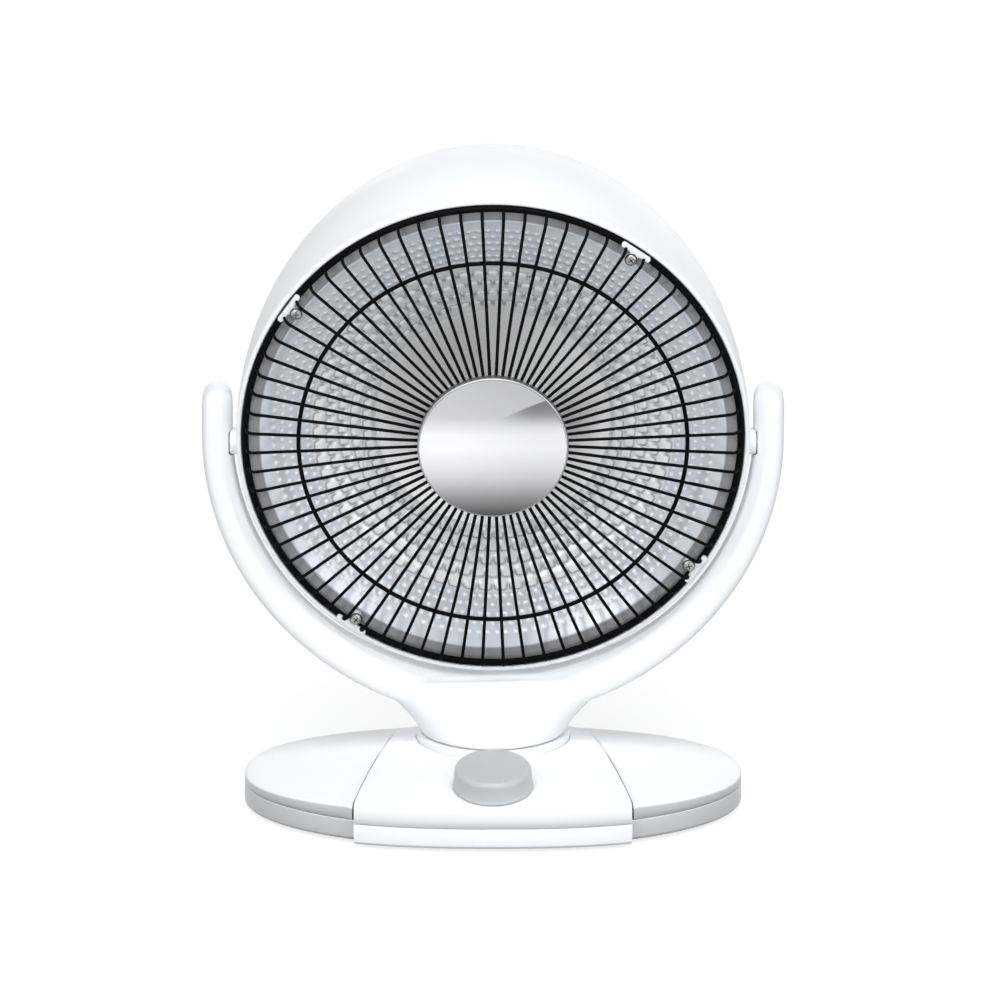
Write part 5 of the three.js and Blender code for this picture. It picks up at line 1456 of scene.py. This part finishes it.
def yoke():
    """The yoke's two shells, from the ring and the pedestal run together into one soft form."""
    whole = gather("yoke_whole", [arms_parts(), pedestal_parts()], 0.0001)
    body = added("yoke_whole", whole)
    remesh = body.modifiers.new("remesh", "REMESH")
    remesh.mode = "VOXEL"
    remesh.voxel_size = YOKE_VOXEL * MM
    smooth = body.modifiers.new("smooth", "SMOOTH")
    smooth.factor = 0.5
    smooth.iterations = 26
    merged = applied(body)
    window_r, window_start, window_end = PIVOT_BOSS_R + 0.6, 140, 157.9
    windows = [
        pin_between("window", window_r, (side * window_start, 0, PIVOT_Z), (side * window_end, 0, PIVOT_Z))
        for side in (-1, 1)
    ]
    pockets = [
        pin_between("pocket", SCREW_HEAD_R + 0.4, (x, 60, z), (x, YOKE_SCREW_FACE_Y - 2.3, z))
        for x, z in YOKE_SCREWS
    ]
    front = cut_from(half_of(merged, True), *[window.copy() for window in windows])
    rear = cut_from(half_of(merged, False), *windows, *pockets)
    place_piece(front, "yoke_front", "yoke", "white_plastic", WHITE, ["yoke_front_shell"], SWIVEL, 55)
    place_piece(rear, "yoke_rear", "yoke", "white_plastic", WHITE, ["yoke_rear_shell"], SWIVEL, 55)
    pattern = screw_mesh("shell_screw", 16)
    for i, (x, z) in enumerate(YOKE_SCREWS):
        place = SWIVEL @ shift(x, YOKE_SCREW_FACE_Y, z) @ Matrix.Rotation(math.pi, 4, "Z")
        place_screw(pattern, f"yoke_screw_{i + 1}", "yoke", place, 0.4 + i)


yoke()

# ---- finishes of the CAD pieces that stay -------------------------------------------------------

KEPT = {
    "tip_switch_body": BLACK, "terminal_block": NYLON, "switch_shaft": STEEL, "rotary_switch": BLACK,
    "yoke_hub": NYLON, "thrust_washer": NYLON, "swivel_retainer": STEEL, "cap_screw": STEEL,
    "element_socket": CERAMIC, "socket_bracket": STEEL, "thermal_cutout": BLACK,
    "pivot_bolt_left": STEEL, "pivot_bolt_right": STEEL,
    "pivot_washer_left": NYLON, "pivot_washer_right": NYLON,
}
for node_name, finish in KEPT.items():
    NODES[node_name].data.materials.clear()
    NODES[node_name].data.materials.append(finish)

# ---- camera, floor and light --------------------------------------------------------------------

CAMERA_ELEVATION = math.radians(17)
CAMERA_DISTANCE = 12.0
CAMERA_LENS = 722.4
AIM = Vector((0.0042, -0.0167, 0.188))
FLOOR_HALF_WIDTH = 6000
FLOOR_GLOW = 0.76
WORLD_LIGHT = 0.25


def camera():
    """A long lens from the photograph's angle."""
    data = bpy.data.cameras.new("camera")
    data.lens = CAMERA_LENS
    data.sensor_width = 36
    data.clip_end = 50
    made = added("camera", data)
    back = Vector((0, -math.cos(CAMERA_ELEVATION), math.sin(CAMERA_ELEVATION)))
    made.location = AIM + back * CAMERA_DISTANCE
    made.rotation_euler = (math.pi / 2 - CAMERA_ELEVATION, 0, 0)
    bpy.context.scene.camera = made


def seen_directly(tree):
    """1 for the camera's own rays and for those seen in metal or through glass."""
    rays = tree.nodes.new("ShaderNodeLightPath").outputs
    first = math_of(tree, "MAXIMUM", rays["Is Camera Ray"], rays["Is Glossy Ray"])
    return math_of(tree, "MAXIMUM", first, rays["Is Transmission Ray"])


def floor():
    """A pale floor that fades into the white background and keeps the heater's shadow."""
    reach = FLOOR_HALF_WIDTH
    corners = [(-reach, -reach, 0), (reach, -reach, 0), (reach, reach, 0), (-reach, reach, 0)]
    mesh = mesh_of("floor", corners, [(0, 1, 2, 3)])
    material, tree, shader = node_material("pale_floor")
    tree.nodes.remove(shader)
    matt = node_of(tree, "ShaderNodeBsdfDiffuse", {"Color": (0.5, 0.5, 0.505, 1)})
    glow = node_of(tree, "ShaderNodeEmission", {"Strength": product(tree, seen_directly(tree), FLOOR_GLOW)})
    both = node_of(tree, "ShaderNodeAddShader", {0: matt.outputs["BSDF"], 1: glow.outputs["Emission"]})
    tree.links.new(both.outputs["Shader"], tree.nodes["Material Output"].inputs["Surface"])
    mesh.materials.append(material)
    added("floor", mesh)


def world():
    """Even white light, weaker on the heater than the background that the camera sees."""
    made = bpy.data.worlds.new("studio")
    made.use_nodes = True
    tree = made.node_tree
    background = tree.nodes["Background"]
    background.inputs["Color"].default_value = (0.97, 0.985, 1, 1)
    limits = {"Value": seen_directly(tree), "To Min": WORLD_LIGHT, "To Max": 1}
    strength = node_of(tree, "ShaderNodeMapRange", limits).outputs["Result"]
    tree.links.new(strength, background.inputs["Strength"])
    bpy.context.scene.world = made


def softbox(name, place, aim, size, power, color=(1, 1, 1)):
    """A soft rectangular lamp turned towards its aim."""
    data = bpy.data.lights.new(name, "AREA")
    data.shape = "RECTANGLE"
    data.size, data.size_y = size
    data.energy = power
    data.color = color
    made = added(name, data)
    made.location = place
    made.rotation_euler = (Vector(aim) - Vector(place)).to_track_quat("-Z", "Y").to_euler()


def lights():
    target = (0, 0, 0.2)
    softbox("key_light", (-1.1, -1.9, 1.1), target, (1.4, 1.4), 16.5, (1, 0.995, 0.98))
    softbox("fill_light", (1.5, -1.8, 0.8), target, (1.4, 1.6), 14, (0.96, 0.98, 1))
    softbox("top_light", (0.1, -1.2, 2.1), target, (1.8, 1.4), 36)
    softbox("back_light", (0.3, 2.3, 0.15), target, (1.8, 1.4), 6)


camera()
floor()
world()
lights()
bpy.context.scene.view_settings.view_transform = "Standard"
